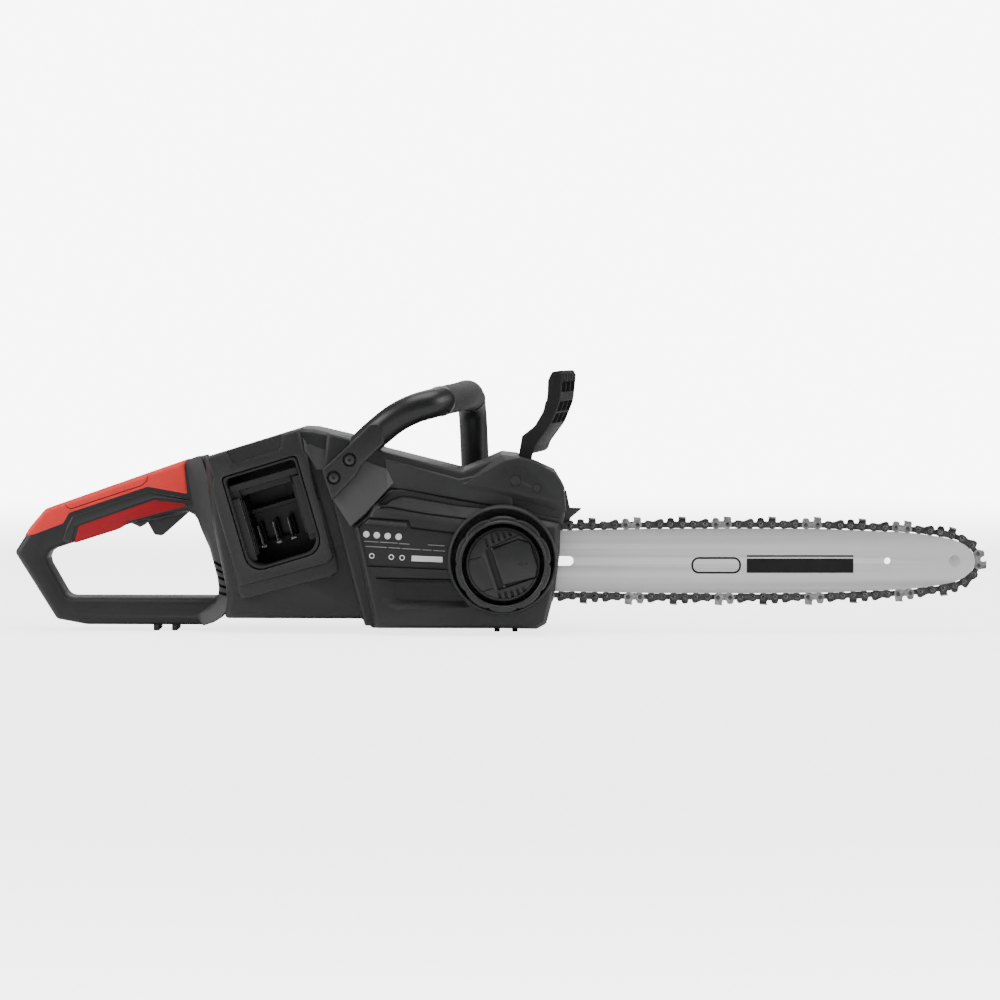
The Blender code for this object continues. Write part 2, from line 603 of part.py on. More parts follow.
def make_knob():
    lobes = []
    count, steps = 10, 6
    for i in range(count * steps):
        angle = 2 * math.pi * i / (count * steps)
        radius = 39.6 + 0.9 * math.cos(count * angle)
        lobes.append((radius * math.cos(angle), STUD_Z + radius * math.sin(angle)))
    ring = extruded("tension_ring", [lobes, circle(0, STUD_Z, 34.4, 48)], -74.5, DISH_FLOOR_Y - 0.5, DARK)
    lip = extruded("ring_lip", [circle(0, STUD_Z, 37.2, 48), circle(0, STUD_Z, 34.4, 48)], -77.5, -73)
    set_axis(join(ring, lip), 0, STUD_Z)

    knob = cylinder("clamp_knob", 0, STUD_Z, 31.3, -75.5, DISH_FLOOR_Y - 0.8, DARK, sides=48)
    recess = [(-12.6, 71.6), *[p[:2] for p in offset(TAB_OUTLINE, 0.6)][1:-1], (-2.6, 40.2)]
    join(knob, cylinder("knob_hub", 0, STUD_Z, 11.4, -60, BAR_Y - BAR_THICKNESS / 2 - 1.2))
    cut(knob, extruded("tab_recess", [recess], -80, -68.4),
        cylinder("nut_seat", 0, STUD_Z, 7.3, -60, -36, sides=6),
        cylinder("stud_space", 0, STUD_Z, 4.6, -66, -30, sides=20),
        axis_rod("pin_bore", 1.7, 2.4))
    set_axis(knob, 0, STUD_Z)
    nut = cylinder("knob_nut", 0, STUD_Z, 7.0, -52, -45, BLACK_STEEL, sides=6)
    cut(nut, cylinder("nut_bore", 0, STUD_Z, 4.3, -60, -36, sides=20))
    set_axis(nut, 0, STUD_Z)

    tab = extruded("knob_tab", [rounded(TAB_OUTLINE, steps=3)], -75.2, -69.2, DARK)
    cut(tab, axis_rod("tab_bore", 1.45, 4.0))
    set_axis(tab, *TAB_AXIS_START, TAB_AXIS_Y)
    finish = axis_rod("tab_pin", 1.35, 1.8)
    finish.data.materials.append(BLACK_STEEL)


def axis_rod(name, radius, extra):
    """A rod along the tab's hinge line, longer than the line by extra at both ends."""
    start = Vector((TAB_AXIS_START[0], TAB_AXIS_Y, TAB_AXIS_START[1]))
    end = Vector((TAB_AXIS_END[0], TAB_AXIS_Y, TAB_AXIS_END[1]))
    along = (end - start).normalized()
    return tube(name, [start - along * extra, end + along * extra], radius, None, sides=2)


# ---------------------------------------------------------------- bar and chain
def bar_outline():
    upper = [(x, BAR_AXIS_Z + h, *r) for x, h, *r in BAR_HALF_EDGE]
    lower = [(x, BAR_AXIS_Z - h, *r) for x, h, *r in reversed(BAR_HALF_EDGE)]
    return rounded(upper + lower, steps=3)


def slot_outline(x0, x1, z, half):
    corners = [(x0, z - half), (x1, z - half), (x1, z + half), (x0, z + half)]
    return rounded([(*corner, half) for corner in corners], steps=5)


def make_bar():
    y0, y1 = BAR_Y - BAR_THICKNESS / 2, BAR_Y + BAR_THICKNESS / 2
    bar = extruded("guide_bar", [bar_outline(), slot_outline(-16, 59.7, STUD_Z, 4.2),
                                 circle(10, 72.5, 3.6, 16), circle(325.7, BAR_AXIS_Z, 2.9, 20)],
                   y0, y1, STEEL)
    cut(bar, cylinder("nose_slot", NOSE_X, BAR_AXIS_Z, 19.6, BAR_Y - 0.95, BAR_Y + 0.95, sides=36))
    join(bar, cylinder("nose_hub", NOSE_X, BAR_AXIS_Z, 5.0, BAR_Y - 1.5, BAR_Y + 1.5, sides=20))
    nose = extruded("nose_sprocket", [toothed(NOSE_X, BAR_AXIS_Z, 14.4, 17.0, NOSE_TEETH),
                                      circle(NOSE_X, BAR_AXIS_Z, 5.2, 20)], BAR_Y - 0.6, BAR_Y + 0.6, STEEL)
    set_axis(nose, NOSE_X, BAR_AXIS_Z)
    slider = block("tension_slider", (2, BAR_Y + BAR_THICKNESS / 2 + GAP, 68.0),
                   (20, POCKET_FLOOR_Y - 0.7, 77.5), BLACK_STEEL)
    join(slider, cylinder("tension_peg", 10, 72.5, 3.2, BAR_Y - 2, POCKET_FLOOR_Y - 1, sides=16))
    stud = cylinder("bar_stud", 0, STUD_Z, 3.95, -60, -20, BLACK_STEEL, sides=24)
    join(stud, cylinder("stud_flange", 0, STUD_Z, 8.0, POCKET_FLOOR_Y + WALL + GAP, -19.5, sides=24))


def rivet_line():
    """The line through the chain's rivets, closed, starting along the bar's top edge."""
    edge = [Vector((x, BAR_AXIS_Z + h)) for x, h, *_ in BAR_HALF_EDGE[2:]]
    upper = []
    for i, here in enumerate(edge):
        along = (edge[min(i + 1, len(edge) - 1)] - edge[max(i - 1, 0)]).normalized()
        upper.append(here + Vector((-along.y, along.x)) * RIVET_ABOVE_EDGE)
    tip = Vector((upper[-1].x + 0.6, BAR_AXIS_Z))
    lower = [Vector((p.x, 2 * BAR_AXIS_Z - p.y)) for p in reversed(upper)]
    lift = math.radians(105)
    wrap = []
    for k in range(13):
        angle = -lift - (2 * math.pi - 2 * lift) * k / 12
        around = Vector((math.cos(angle), math.sin(angle)))
        wrap.append(Vector((SPROCKET_X, BAR_AXIS_Z)) + SPROCKET_RIVET_RADIUS * around)
    return upper + [tip] + lower + wrap


def rivet_places(line):
    """(point, unit tangent) at a distance along the closed line, as a function."""
    closed = line + line[:1]
    lengths = [(b - a).length for a, b in zip(closed, closed[1:])]
    total = sum(lengths)

    def at(distance):
        distance %= total
        for a, b, length in zip(closed, closed[1:], lengths):
            if distance <= length:
                return a + (b - a) * (distance / length), (b - a) / length
            distance -= length
        return closed[0], (closed[1] - closed[0]).normalized()

    return at, total


TIE_STRAP = [(0.6, 2.4)]
BUMPER_STRAP = [(-2.4, 2.2), (8.6, 2.4), (12.2, 4.4)]
CUTTER = [(-3.0, 2.4), (-1.2, 5.4), (2.6, 5.6), (4.4, 2.4), (7.4, 6.6), (13.2, 6.4)]


def chain_layer(name, y0, y1, cutter_at):
    """One layer of side links as a band whose outer edge has each link's shape."""
    at, total = rivet_places(rivet_line())
    pitch = total / DRIVE_LINKS
    outer, inner = [], []
    for link in range(DRIVE_LINKS):
        kind = link % 4
        shape = CUTTER if kind == cutter_at else BUMPER_STRAP if kind in (1, 3) else TIE_STRAP
        for along, height in shape:
            point, tangent = at(link * pitch + along)
            outer.append(tuple(point + Vector((-tangent.y, tangent.x)) * height))
        for along in (0.0, pitch / 2):
            point, tangent = at(link * pitch + along)
            inner.append(tuple(point - Vector((-tangent.y, tangent.x)) * 2.6))
    return extruded(name, [outer, inner], y0, y1, CHAIN_STEEL)


def make_chain():
    half_gauge = 0.65
    chain_layer("chain_near_links", BAR_Y - 2.3, BAR_Y - half_gauge - GAP / 2, 0)
    chain_layer("chain_far_links", BAR_Y + half_gauge + GAP / 2, BAR_Y + 2.3, 2)
    at, total = rivet_places(rivet_line())
    outer, inner = [], []
    for link in range(DRIVE_LINKS * 2):
        point, tangent = at(link * total / DRIVE_LINKS / 2)
        normal = Vector((-tangent.y, tangent.x))
        outer.append(tuple(point + normal * 2.3))
        inner.append(tuple(point - normal * 1.4))
    extruded("chain_drive_links", [outer, inner], BAR_Y - half_gauge, BAR_Y + half_gauge, CHAIN_STEEL)


def make_spike_and_catcher():
    plate = [
        (38.5, 84), (49, 84), (55.4, 90), (57.4, 96), (66.4, 103.4), (66.2, 104.4), (56.8, 104.6),
        (56.2, 107), (53.6, 120), (52.8, 120), (54.2, 108), (52.2, 93), (49, 90), (38.5, 90),
    ]
    extruded("spike_bumper", [plate], -29.6, POCKET_FLOOR_Y - GAP, BLACK_STEEL)
    cylinder("chain_catcher", 36.4, 16.4, 2.5, -46, POCKET_FLOOR_Y - GAP, BLACK_STEEL, sides=16)


# ---------------------------------------------------------------- motor and drive
def make_drive():
    hole = [circle(SPROCKET_X, STUD_Z, 5.15, 24)]
    sprocket = extruded("drive_sprocket", [toothed(SPROCKET_X, STUD_Z, 10.8, 13.0, SPROCKET_TEETH), *hole],
                        BAR_Y - 3.5, BAR_Y + 3.5, BLACK_STEEL)
    shaft = cylinder("drive_shaft", SPROCKET_X, STUD_Z, 5.0, -44, 4, STEEL, sides=24)
    gear_teeth = toothed(SPROCKET_X, STUD_Z, 28.6, 31.2, GEAR_TEETH)
    gear = extruded("drive_gear", [gear_teeth, *hole], -15, -8, STEEL)
    extruded("shaft_bearing", [circle(SPROCKET_X, STUD_Z, 11.0, 32), circle(SPROCKET_X, STUD_Z, 5.2, 24)],
             POCKET_FLOOR_Y, POCKET_FLOOR_Y + WALL + 3, STEEL)
    for piece in (sprocket, shaft, gear):
        set_axis(piece, SPROCKET_X, STUD_Z)
    mesh_turn = math.pi / PINION_TEETH - math.pi / 2
    pinion_teeth = toothed(SPROCKET_X, MOTOR_Z, 5.5, 7.9, PINION_TEETH, 0.42, mesh_turn)
    shaft_hole = circle(SPROCKET_X, MOTOR_Z, 3.15, 20)
    pinion = extruded("motor_pinion", [pinion_teeth, shaft_hole], -15, -8, STEEL)
    rotor = cylinder("motor_rotor", SPROCKET_X, MOTOR_Z, 3.0, -16, 45, COPPER, sides=20)
    join(rotor, cylinder("rotor_core", SPROCKET_X, MOTOR_Z, 14.0, 0, 30, sides=24))
    fan = extruded("cooling_fan", [toothed(SPROCKET_X, MOTOR_Z, 12, 22, 9, 0.4), shaft_hole], 36, 42, DARK)
    for piece in (pinion, rotor, fan):
        set_axis(piece, SPROCKET_X, MOTOR_Z)
    stator = [circle(SPROCKET_X, MOTOR_Z, radius, 36) for radius in (26, 15)]
    extruded("motor_stator", stator, -2, 33, COPPER)


def make_oil_system():
    tank = block("oil_tank", (-14, 6, 10), (31, 45.8, 52), TANK)
    cut(tank, block("tank_hollow", (-12, 8, 12), (29, 43.8, 50)),
        cylinder("tank_mouth", *OIL_CAP, 9.0, 40, 60, sides=24))
    cap = cylinder("oil_cap", *OIL_CAP, 14.8, 46.2, 56, DARK, sides=32, end_radius=13.6)
    join(cap, cylinder("cap_plug", *OIL_CAP, 8.5, 38, 50, sides=24))
    for side in (-1, 1):
        x0, x1 = sorted((OIL_CAP[0] + side * 2, OIL_CAP[0] + side * 11))
        groove = box_outline(x0, OIL_CAP[1] - 9, x1, OIL_CAP[1] + 9)
        cut(cap, extruded(f"cap_groove_{x0:.0f}", [groove], 53, 60))
    set_axis(cap, *OIL_CAP)
    cylinder("oil_pump", -20, 29, 7, -20, 2, DARK, sides=20)
    pipe = [(-20, 2.5, 29), (-20, 9, 28), (-19.4, 14, 24), (-18, 16, 21), (-14.4, 16, 20)]
    tube("oil_pipe", pipe, 1.6, RUBBER, sides=1)


def make_feet_and_board():
    feet = (("front_foot", (-5.0, 10.2), -24, 42, 2.4), ("rear_foot", (-296.4, -280.7), -14, 14, 2.8))
    for name, centres, y0, y1, base_z in feet:
        middle = sum(centres) / 2
        foot = block(name, (middle - 13, y0, base_z - 1.6), (middle + 13, y1, base_z - GAP), RUBBER)
        for centre in centres:
            join(foot, block(f"{name}_rib_{centre:.0f}", (centre - 2.4, y0, GROUND),
                             (centre + 2.4, y1, base_z - 1)))
    block("controller_board", (-214, 40, 40), (-150, 44, 118), BOARD)


make_right_half()
make_left_half()
make_grips()
make_trigger()
make_lock_button()
make_battery_bay()
make_front_handle()
make_guard()
make_cover()
make_knob()
make_bar()
make_chain()
make_spike_and_catcher()
make_drive()
make_oil_system()
make_feet_and_board()
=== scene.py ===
import math

import bpy
import bmesh
from mathutils import Matrix, Vector


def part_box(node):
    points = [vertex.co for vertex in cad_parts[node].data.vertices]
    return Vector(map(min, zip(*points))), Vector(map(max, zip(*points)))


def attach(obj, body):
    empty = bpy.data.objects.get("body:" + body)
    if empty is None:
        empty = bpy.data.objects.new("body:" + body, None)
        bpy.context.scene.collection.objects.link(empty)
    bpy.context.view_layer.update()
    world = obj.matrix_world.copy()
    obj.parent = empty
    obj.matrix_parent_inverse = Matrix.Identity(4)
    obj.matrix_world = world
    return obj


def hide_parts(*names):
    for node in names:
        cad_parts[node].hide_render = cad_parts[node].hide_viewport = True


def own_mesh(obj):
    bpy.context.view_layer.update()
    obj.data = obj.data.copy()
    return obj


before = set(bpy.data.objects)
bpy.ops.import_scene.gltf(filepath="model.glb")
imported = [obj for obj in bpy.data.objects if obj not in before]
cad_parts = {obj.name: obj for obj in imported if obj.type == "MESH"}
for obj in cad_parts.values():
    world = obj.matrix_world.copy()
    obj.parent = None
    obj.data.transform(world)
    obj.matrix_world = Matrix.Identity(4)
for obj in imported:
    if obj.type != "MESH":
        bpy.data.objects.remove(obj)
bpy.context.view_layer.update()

# Drawing coordinates are millimetres: X along the bar to its tip, Y from right to left, Z up.
# The bar stud fixes where they lie in the frame.
MM = 0.001
STUD_Z = 59.6
STUD_LOW, STUD_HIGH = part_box("bar_stud")
ORIGIN = Vector(((STUD_LOW.x + STUD_HIGH.x) / 2, STUD_LOW.y + 60 * MM,
                 (STUD_LOW.z + STUD_HIGH.z) / 2 - STUD_Z * MM))
BAR_Y = -33.0
BAR_AXIS_Z = 59.7
SPROCKET_X = -50.9

# Outlines are (x, z) or (x, z, corner radius).
HANDLE = [
    (-417.1, 65.7, 4), (-403.8, 86.2, 3), (-390.2, 102.6, 10), (-262, 147.2, 3), (-254.5, 147.6, 2),
    (-247.7, 128.4, 3), (-243.3, 104, 3), (-235.5, 67.4, 3), (-228.2, 42.4, 6), (-227.5, 31, 6),
    (-230.8, 22, 6), (-236.5, 13, 6), (-245.5, 6.8, 5), (-253, 3.4, 5), (-355.9, 3.7, 12), (-381.7, 8.5, 5),
]
HANDLE_OPENING = [
    (-393.2, 65.2, 9), (-317.5, 90.2, 2), (-264.5, 101.5, 10), (-250.5, 71, 40), (-242, 38, 15),
    (-242.3, 27.2, 5), (-371.8, 27.4, 9),
]
GRIP_TOP = [
    (-404.2, 86.6, 3), (-390.4, 102.9, 10), (-269.5, 145.2, 1.2), (-266.2, 112.8, 1.2), (-302.3, 119.4, 4),
    (-368, 97.6, 2), (-373.2, 88.6, 2), (-400.2, 78.4, 0.6), (-408.3, 79.8, 0.6),
]
GRIP_LOWER = [
    (-366, 73.4, 1.2), (-362.1, 88.8, 3), (-297.2, 111, 3), (-271, 107.9, 1), (-268, 105.2, 1),
    (-318.5, 92.6, 0.6), (-328, 85.4, 1),
]
STRIPE = [
    (-372.2, 87.2, 2), (-367.2, 96.8, 2), (-302, 118.6, 4), (-267, 112, 1), (-267, 109, 1),
    (-296.8, 112, 3), (-364.4, 88.4, 3), (-368, 74.2, 1.5), (-376, 74.8, 1.5),
]
BODY = [
    (-252, 146.5, 2), (-240, 151, 2), (-170.1, 172.6, 4), (-159.4, 172.1, 4), (-131, 165.4, 2),
    (-101, 153.6, 2), (-33.8, 136.7, 3), (-1, 150.7, 5), (12.6, 149.1, 8), (44.6, 135, 4), (51.8, 123.2, 4),
    (53.4, 108, 2), (51.1, 91, 2), (44.4, 36, 2), (36.2, 6.8, 3), (28.5, 2.7, 3), (-110.6, 2.9, 4),
    (-119.9, 10.8, 2), (-236, 11.2, 3), (-233, 30, 6), (-246, 94, 3),
]
PLATFORM = [
    (-250.6, 148.2, 1.5), (-243.8, 131, 2), (-245.2, 121, 2), (-238.6, 96.5, 2), (-231, 70, 2),
    (-223.6, 44.5, 3), (-221.5, 38.8, 2), (-185, 48, 2), (-147, 58.4, 4), (-142.2, 64, 4), (-161, 136.5, 3),
    (-163.7, 149.3, 1.5), (-166.9, 153.4, 1.5), (-171.4, 172.3, 2),
]
SKIRT = [
    (-228.5, 60, 1), (-221.8, 27.2, 5), (-144.5, 47.2, 6), (-138.8, 53, 4), (-139.8, 62, 3), (-158, 128, 2),
    (-200, 120, 2),
]
BAY = [(-237.3, 131.3, 4), (-173.6, 150.5, 4), (-150.2, 68.8, 14), (-213.7, 49.6, 14)]
FRONT_BLOCK = [
    (-152, 137.5, 1.5), (-143.4, 107, 1.5), (-116.8, 5.6, 2), (28.5, 2.8, 3), (36.2, 6.9, 3), (44.4, 36, 2),
    (51.1, 91, 2), (53.4, 108, 2), (51.8, 123.2, 4), (44.6, 135, 4), (12.6, 149.1, 8), (-1, 150.7, 5),
    (-33.8, 136.7, 3), (-101, 153.6, 2), (-131, 165.2, 2), (-148, 169.4, 2),
]
SHOULDER = [
    (-32.6, 126.6, 1), (1.6, 145.6, 3), (13.4, 148.0, 5), (28.4, 143.3, 3), (43.6, 134.9, 3),
    (50.8, 123.4, 3), (52.2, 107.6, 1),
]
SHOULDER_FOOT = [
    (-36.5, 124.4, 1), (-1.2, 150.2, 3), (12.6, 148.9, 5), (29.6, 144.6, 3), (44.6, 135, 3),
    (51.8, 123.2, 3), (53.4, 101.4, 1),
]
COVER_BASE = [
    (-125.9, 89.9, 2), (-114.1, 99.9, 1), (-108.9, 109.4, 3), (-95.5, 120.7, 6), (-85.4, 121.0, 6),
    (-36, 110.8, 1), (20.9, 101.5, 1), (48.4, 96.0, 2), (47.8, 69.1, 2), (44.0, 37.1, 2), (36.5, 8.2, 3),
    (28.4, 4.2, 3), (-108.0, 4.4, 3),
]
COVER_FACE = [
    (-122.9, 88.7, 2), (-112.3, 97.6, 1), (-106.8, 106.6, 3), (-98, 107.4, 6), (-84, 105.4, 6),
    (-36, 98.6, 1), (24.0, 91.6, 1), (44.6, 90.6, 2), (44.4, 69.2, 2), (40.8, 38, 2), (33.8, 10.6, 3),
    (26.8, 6.9, 3), (-105.2, 7.2, 3),
]
GROOVE = [
    (-106.9, 108.4, 1.5), (-92.9, 120.6, 3), (-79.9, 121.2, 3), (-38.9, 113, 1), (-9, 107.6, 1),
    (-15.8, 104.9, 1), (-40.1, 107.4, 1), (-77.3, 114.2, 2), (-85, 114.8, 3), (-94, 111.8, 2),
    (-98.3, 108.2, 1),
]
LABEL_PANEL = [
    (-121.0, 89.0, 1.5), (-113.6, 97.6, 1), (-79.3, 95.2, 1), (-77.4, 89.6, 1), (-39.6, 84.4, 2),
    (-46.6, 54.0, 2), (-113.8, 57.2, 3), (-118.4, 76, 2),
]
LOZENGE = [
    (-116.8, 92.6, 0.8), (-112.6, 96.8, 0.8), (-80.4, 93.9, 0.8), (-79.4, 90.2, 0.8), (-82.4, 89.2, 0.8),
]
POCKET_MOUTH = [
    (-107, 46.7, 1), (-43, 45.2, 1.5), (-25.8, 23.4, 1), (-31, 22.6, 1), (-90, 20.6, 3), (-98.6, 23.4, 3),
    (-103.8, 31.2, 3),
]
POCKET_FLOOR = [
    (-92.6, 43.2, 1), (-45, 43.4, 1.5), (-31.5, 27.6, 1), (-34, 27.2, 1), (-85.5, 28.2, 3),
    (-88.3, 29.6, 3), (-90, 32, 3),
]
DISH_X, DISH_Z, DISH_RADIUS = -0.4, 62.2, 43.8
HANDLE_PLATE = [
    (-152.2, 137.5, 3), (-123.2, 164.5, 3), (-110.2, 177.3, 8), (-98.0, 174.9, 5), (-100.6, 158.8, 3),
    (-118.2, 142.4, 4), (-123.4, 132.7, 5), (-144.0, 111.5, 2),
]
HANDLE_ROUTE = [
    (-122, -42.5, 153.5), (-107.5, -43.5, 167.2), (-90.7, -47, 180.6), (-74.5, -48, 188.9),
    (-59, -43, 193.4), (-49, -28, 195.9), (-41, -5, 197.3), (-35, 25, 198.6), (-31, 55, 199.3),
    (-28.5, 74, 196.0), (-27, 84, 184.5), (-25.8, 86, 165), (-24.0, 86, 120), (-22.5, 83, 88),
    (-21.5, 73, 66), (-21, 60, 55),
]
GUARD_PROFILE = [
    (5.6, 108.6, 5.9), (18.4, 108.6, 5.9), (19.5, 120, 5), (25.0, 150, 6), (28.0, 159, 12),
    (40.2, 175.6, 30), (47.6, 194, 30), (50.0, 216.5, 2), (47.5, 220.9, 2), (41.0, 219.8, 3),
    (37.6, 212.8, 3), (37.2, 200, 30), (34.5, 186.4, 24), (27.0, 173.5, 14), (16.1, 165.0, 2),
    (13.6, 150, 5),
]
TRIGGER = [
    (-305.3, 92.6, 1), (-298.4, 80.0, 3), (-292.0, 79.2, 3), (-269.5, 99.0, 2), (-267.8, 106, 4),
    (-271, 113, 4), (-279, 112, 3), (-282, 104.5, 1), (-304.6, 98.2, 1),
]
TRIGGER_BEZEL = [
    (-319, 93.9, 0.8), (-305, 94.0, 1), (-279.8, 101.6, 1), (-271.1, 104.8, 1), (-266.6, 101.4, 1),
    (-270.2, 98.9, 1), (-305, 90.9, 1), (-307.6, 88, 1), (-310.6, 86.6, 1), (-313, 88.2, 1),
    (-319, 90.6, 0.8),
]
TAB = [(-9.8, 71.4, 1), (12.9, 80.4, 2), (22.4, 77.4, 2), (29.0, 58.0, 3), (27.5, 49.0, 2), (-0.2, 42.2, 1)]
BAR_HALF_EDGE = [
    (8, 25.4), (52, 25.9), (124, 27.2), (200, 27.5), (268, 27.1), (336, 24.3), (352, 22.9), (370, 20.4),
    (382, 17.9), (390.6, 14.1), (396.6, 8.9), (399.6, 3.2),
]


# ---- shape helpers
def place(x, y, z):
    return Vector((x, y, z)) * MM + ORIGIN


def area(points):
    return sum(a[0] * b[1] - b[0] * a[1] for a, b in zip(points, points[1:] + points[:1])) / 2


def rounded(corners, steps=3):
    """The outline with an arc at each corner that states a radius; every outline keeps its count."""
    made, count = [], len(corners)
    for i, corner in enumerate(corners):
        here = Vector(corner[:2])
        if len(corner) < 3:
            made.append(tuple(here))
            continue
        before, after = Vector(corners[i - 1][:2]), Vector(corners[(i + 1) % count][:2])
        back, on = (before - here).normalized(), (after - here).normalized()
        half = math.acos(max(-1.0, min(1.0, back.dot(on)))) / 2
        reach = min(corner[2] / math.tan(half), 0.45 * (before - here).length, 0.45 * (after - here).length)
        radius = reach * math.tan(half)
        if half > 1.55 or radius < 1e-4:
            made.extend([tuple(here + (on - back) * 0.01 * (k - steps / 2)) for k in range(steps + 1)])
            continue
        centre = here + (back + on).normalized() * (radius / math.sin(half))
        start, end = here + back * reach - centre, here + on * reach - centre
        turn = start.angle_signed(end)
        for k in range(steps + 1):
            made.append(tuple(centre + Matrix.Rotation(-turn * k / steps, 2) @ start))
    return made


def inset(corners, distance):
    """The corners moved inwards by distance, with their radii."""
    side = 1 if area([c[:2] for c in corners]) > 0 else -1
    made = []
    for i, corner in enumerate(corners):
        here = Vector(corner[:2])
        back = (here - Vector(corners[i - 1][:2])).normalized()
        on = (Vector(corners[(i + 1) % len(corners)][:2]) - here).normalized()
        normal_back, normal_on = (Vector((d.y, -d.x)) * side for d in (back, on))
        middle = (normal_back + normal_on).normalized()
        made.append((*(here - middle * distance / max(0.4, middle.dot(normal_on))), *corner[2:]))
    return made


def circle(x, z, radius, sides=48):
    return [(x + radius * math.cos(2 * math.pi * i / sides), z + radius * math.sin(2 * math.pi * i / sides))
            for i in range(sides)]


def new_object(name, work):
    bmesh.ops.recalc_face_normals(work, faces=work.faces)
    mesh = bpy.data.meshes.new(name)
    work.to_mesh(mesh)
    work.free()
    obj = bpy.data.objects.new(name, mesh)
    bpy.context.scene.collection.objects.link(obj)
    return obj


def add_rings(work, rings, caps=True):
    """Faces between rings of points with the same count, and flat ends."""
    made = [[work.verts.new(p) for p in ring] for ring in rings]
    for one, two in zip(made, made[1:]):
        for i in range(len(one)):
            work.faces.new((one[i - 1], one[i], two[i], two[i - 1]))
    if caps:
        work.faces.new(made[0])
        work.faces.new(made[-1])
    return made


def loft(name, levels, steps=3):
    """A closed solid through outlines at several depths: levels are (y, corners)."""
    work = bmesh.new()
    add_rings(work, [[place(x, y, z) for x, z in rounded(corners, steps)] for y, corners in levels])
    return new_object(name, work)


def slab(name, corners, levels, steps=3):
    """A closed solid whose outline is drawn in by a stated distance at each depth: (y, distance)."""
    return loft(name, [(y, inset(corners, d)) for y, d in levels], steps)


def prism(name, corners, y_back):
    """A solid whose face is a free polygon of (x, y, z) corners and whose back is flat."""
    work = bmesh.new()
    add_rings(work, [[place(x, y_back, z) for x, _, z in corners], [place(*c) for c in corners]])
    bmesh.ops.triangulate(work, faces=[f for f in work.faces if len(f.verts) > 4])
    return new_object(name, work)


def disc(name, x, z, levels, sides=48):
    """A turned solid along Y: levels are (y, radius)."""
    work = bmesh.new()
    add_rings(work, [[place(px, y, pz) for px, pz in circle(x, z, r, sides)] for y, r in levels])
    return new_object(name, work)


def turned_ring(name, x, z, profile, sides=64):
    """A closed ring about an axis along Y: profile is a loop of (y, radius)."""
    work = bmesh.new()
    rings = [[place(px, y, pz) for px, pz in circle(x, z, r, sides)] for y, r in profile]
    add_rings(work, rings + rings[:1], caps=False)
    bmesh.ops.remove_doubles(work, verts=work.verts, dist=1e-7)
    return new_object(name, work)


def box(name, low, high, edge=0.0):
    work = bmesh.new()
    bmesh.ops.create_cube(work, size=1)
    size, middle = Vector(high) - Vector(low), (Vector(high) + Vector(low)) / 2
    for vert in work.verts:
        vert.co = place(*(middle + Vector((vert.co.x * size.x, vert.co.y * size.y, vert.co.z * size.z))))
    if edge:
        bmesh.ops.bevel(work, geom=work.edges[:], offset=edge * MM, segments=2, affect="EDGES", profile=0.5)
    return new_object(name, work)


def sweep(name, route, radii, sides=28):
    """A round bar along a route with a radius at each point and flat ends."""
    points = [Vector(p) for p in route]
    work = bmesh.new()
    across = Vector((0, 1, 0.2)).normalized()
    rings = []
    for i, point in enumerate(points):
        along = (points[min(i + 1, len(points) - 1)] - points[max(i - 1, 0)]).normalized()
        across = (across - along * across.dot(along)).normalized()
        other = along.cross(across)
        turns = [2 * math.pi * k / sides for k in range(sides)]
        rings.append([place(*(point + (across * math.cos(t) + other * math.sin(t)) * radii[i]))
                      for t in turns])
    add_rings(work, rings)
    return new_object(name, work)


def smooth_route(points, steps):
    """Catmull-Rom points through a route."""
    ends = [Vector(points[0]) * 2 - Vector(points[1])] + [Vector(p) for p in points]
    ends.append(Vector(points[-1]) * 2 - Vector(points[-2]))
    made = []
    for a, b, c, d in zip(ends, ends[1:], ends[2:], ends[3:]):
        for k in range(steps):
            t = k / steps
            made.append(0.5 * ((2 * b) + (c - a) * t + (2 * a - 5 * b + 4 * c - d) * t**2
                               + (3 * b - a - 3 * c + d) * t**3))
    made.append(ends[-2])
    return made


def boolean(obj, tools, operation="DIFFERENCE"):
    """Applies the Booleans and removes their tools."""
    for tool in tools:
        step = obj.modifiers.new("step", "BOOLEAN")
        step.operation, step.solver, step.object = operation, "EXACT", tool
    bpy.context.view_layer.update()
    graph = bpy.context.evaluated_depsgraph_get()
    mesh = bpy.data.meshes.new_from_object(obj.evaluated_get(graph))
    obj.modifiers.clear()
    obj.data = mesh
    for tool in tools:
        bpy.data.objects.remove(tool)
    return obj


def cut(obj, *tools):
    return boolean(obj, tools)


def join(obj, *tools):
    return boolean(obj, tools, "UNION")


def slit(name, points, width, y0, y1):
    """A tool that follows a line of (x, z) points with an even width."""
    left, right = [], []
    points = [Vector(p) for p in points]
    for i, point in enumerate(points):
        along = (points[min(i + 1, len(points) - 1)] - points[max(i - 1, 0)]).normalized()
        side = Vector((-along.y, along.x)) * width / 2
        left.append(tuple(point + side))
        right.append(tuple(point - side))
    return loft(name, [(y0, left + right[::-1]), (y1, left + right[::-1])])


def both_ways(levels):
    """Levels from the middle out to one side, with their mirror image before them."""
    return [(-y, d) for y, d in levels[::-1]] + levels


# ---- materials
BUMP_HEIGHT = 0.0004        # metres
ROUGH_SPREAD = 0.08
WORN_FROM, WORN_TO, WORN_MOST = 0.52, 0.62, 0.55        # pointiness of a worn edge, and its share of the tint


def nodes_of(name):
    made = bpy.data.materials.new(name)
    made.use_nodes = True
    tree = made.node_tree
    return made, tree, tree.nodes["Principled BSDF"]


def add(tree, kind, **sockets):
    node = tree.nodes.new(kind)
    for key, value in sockets.items():
        node.inputs[key.replace("_", " ")].default_value = value
    return node


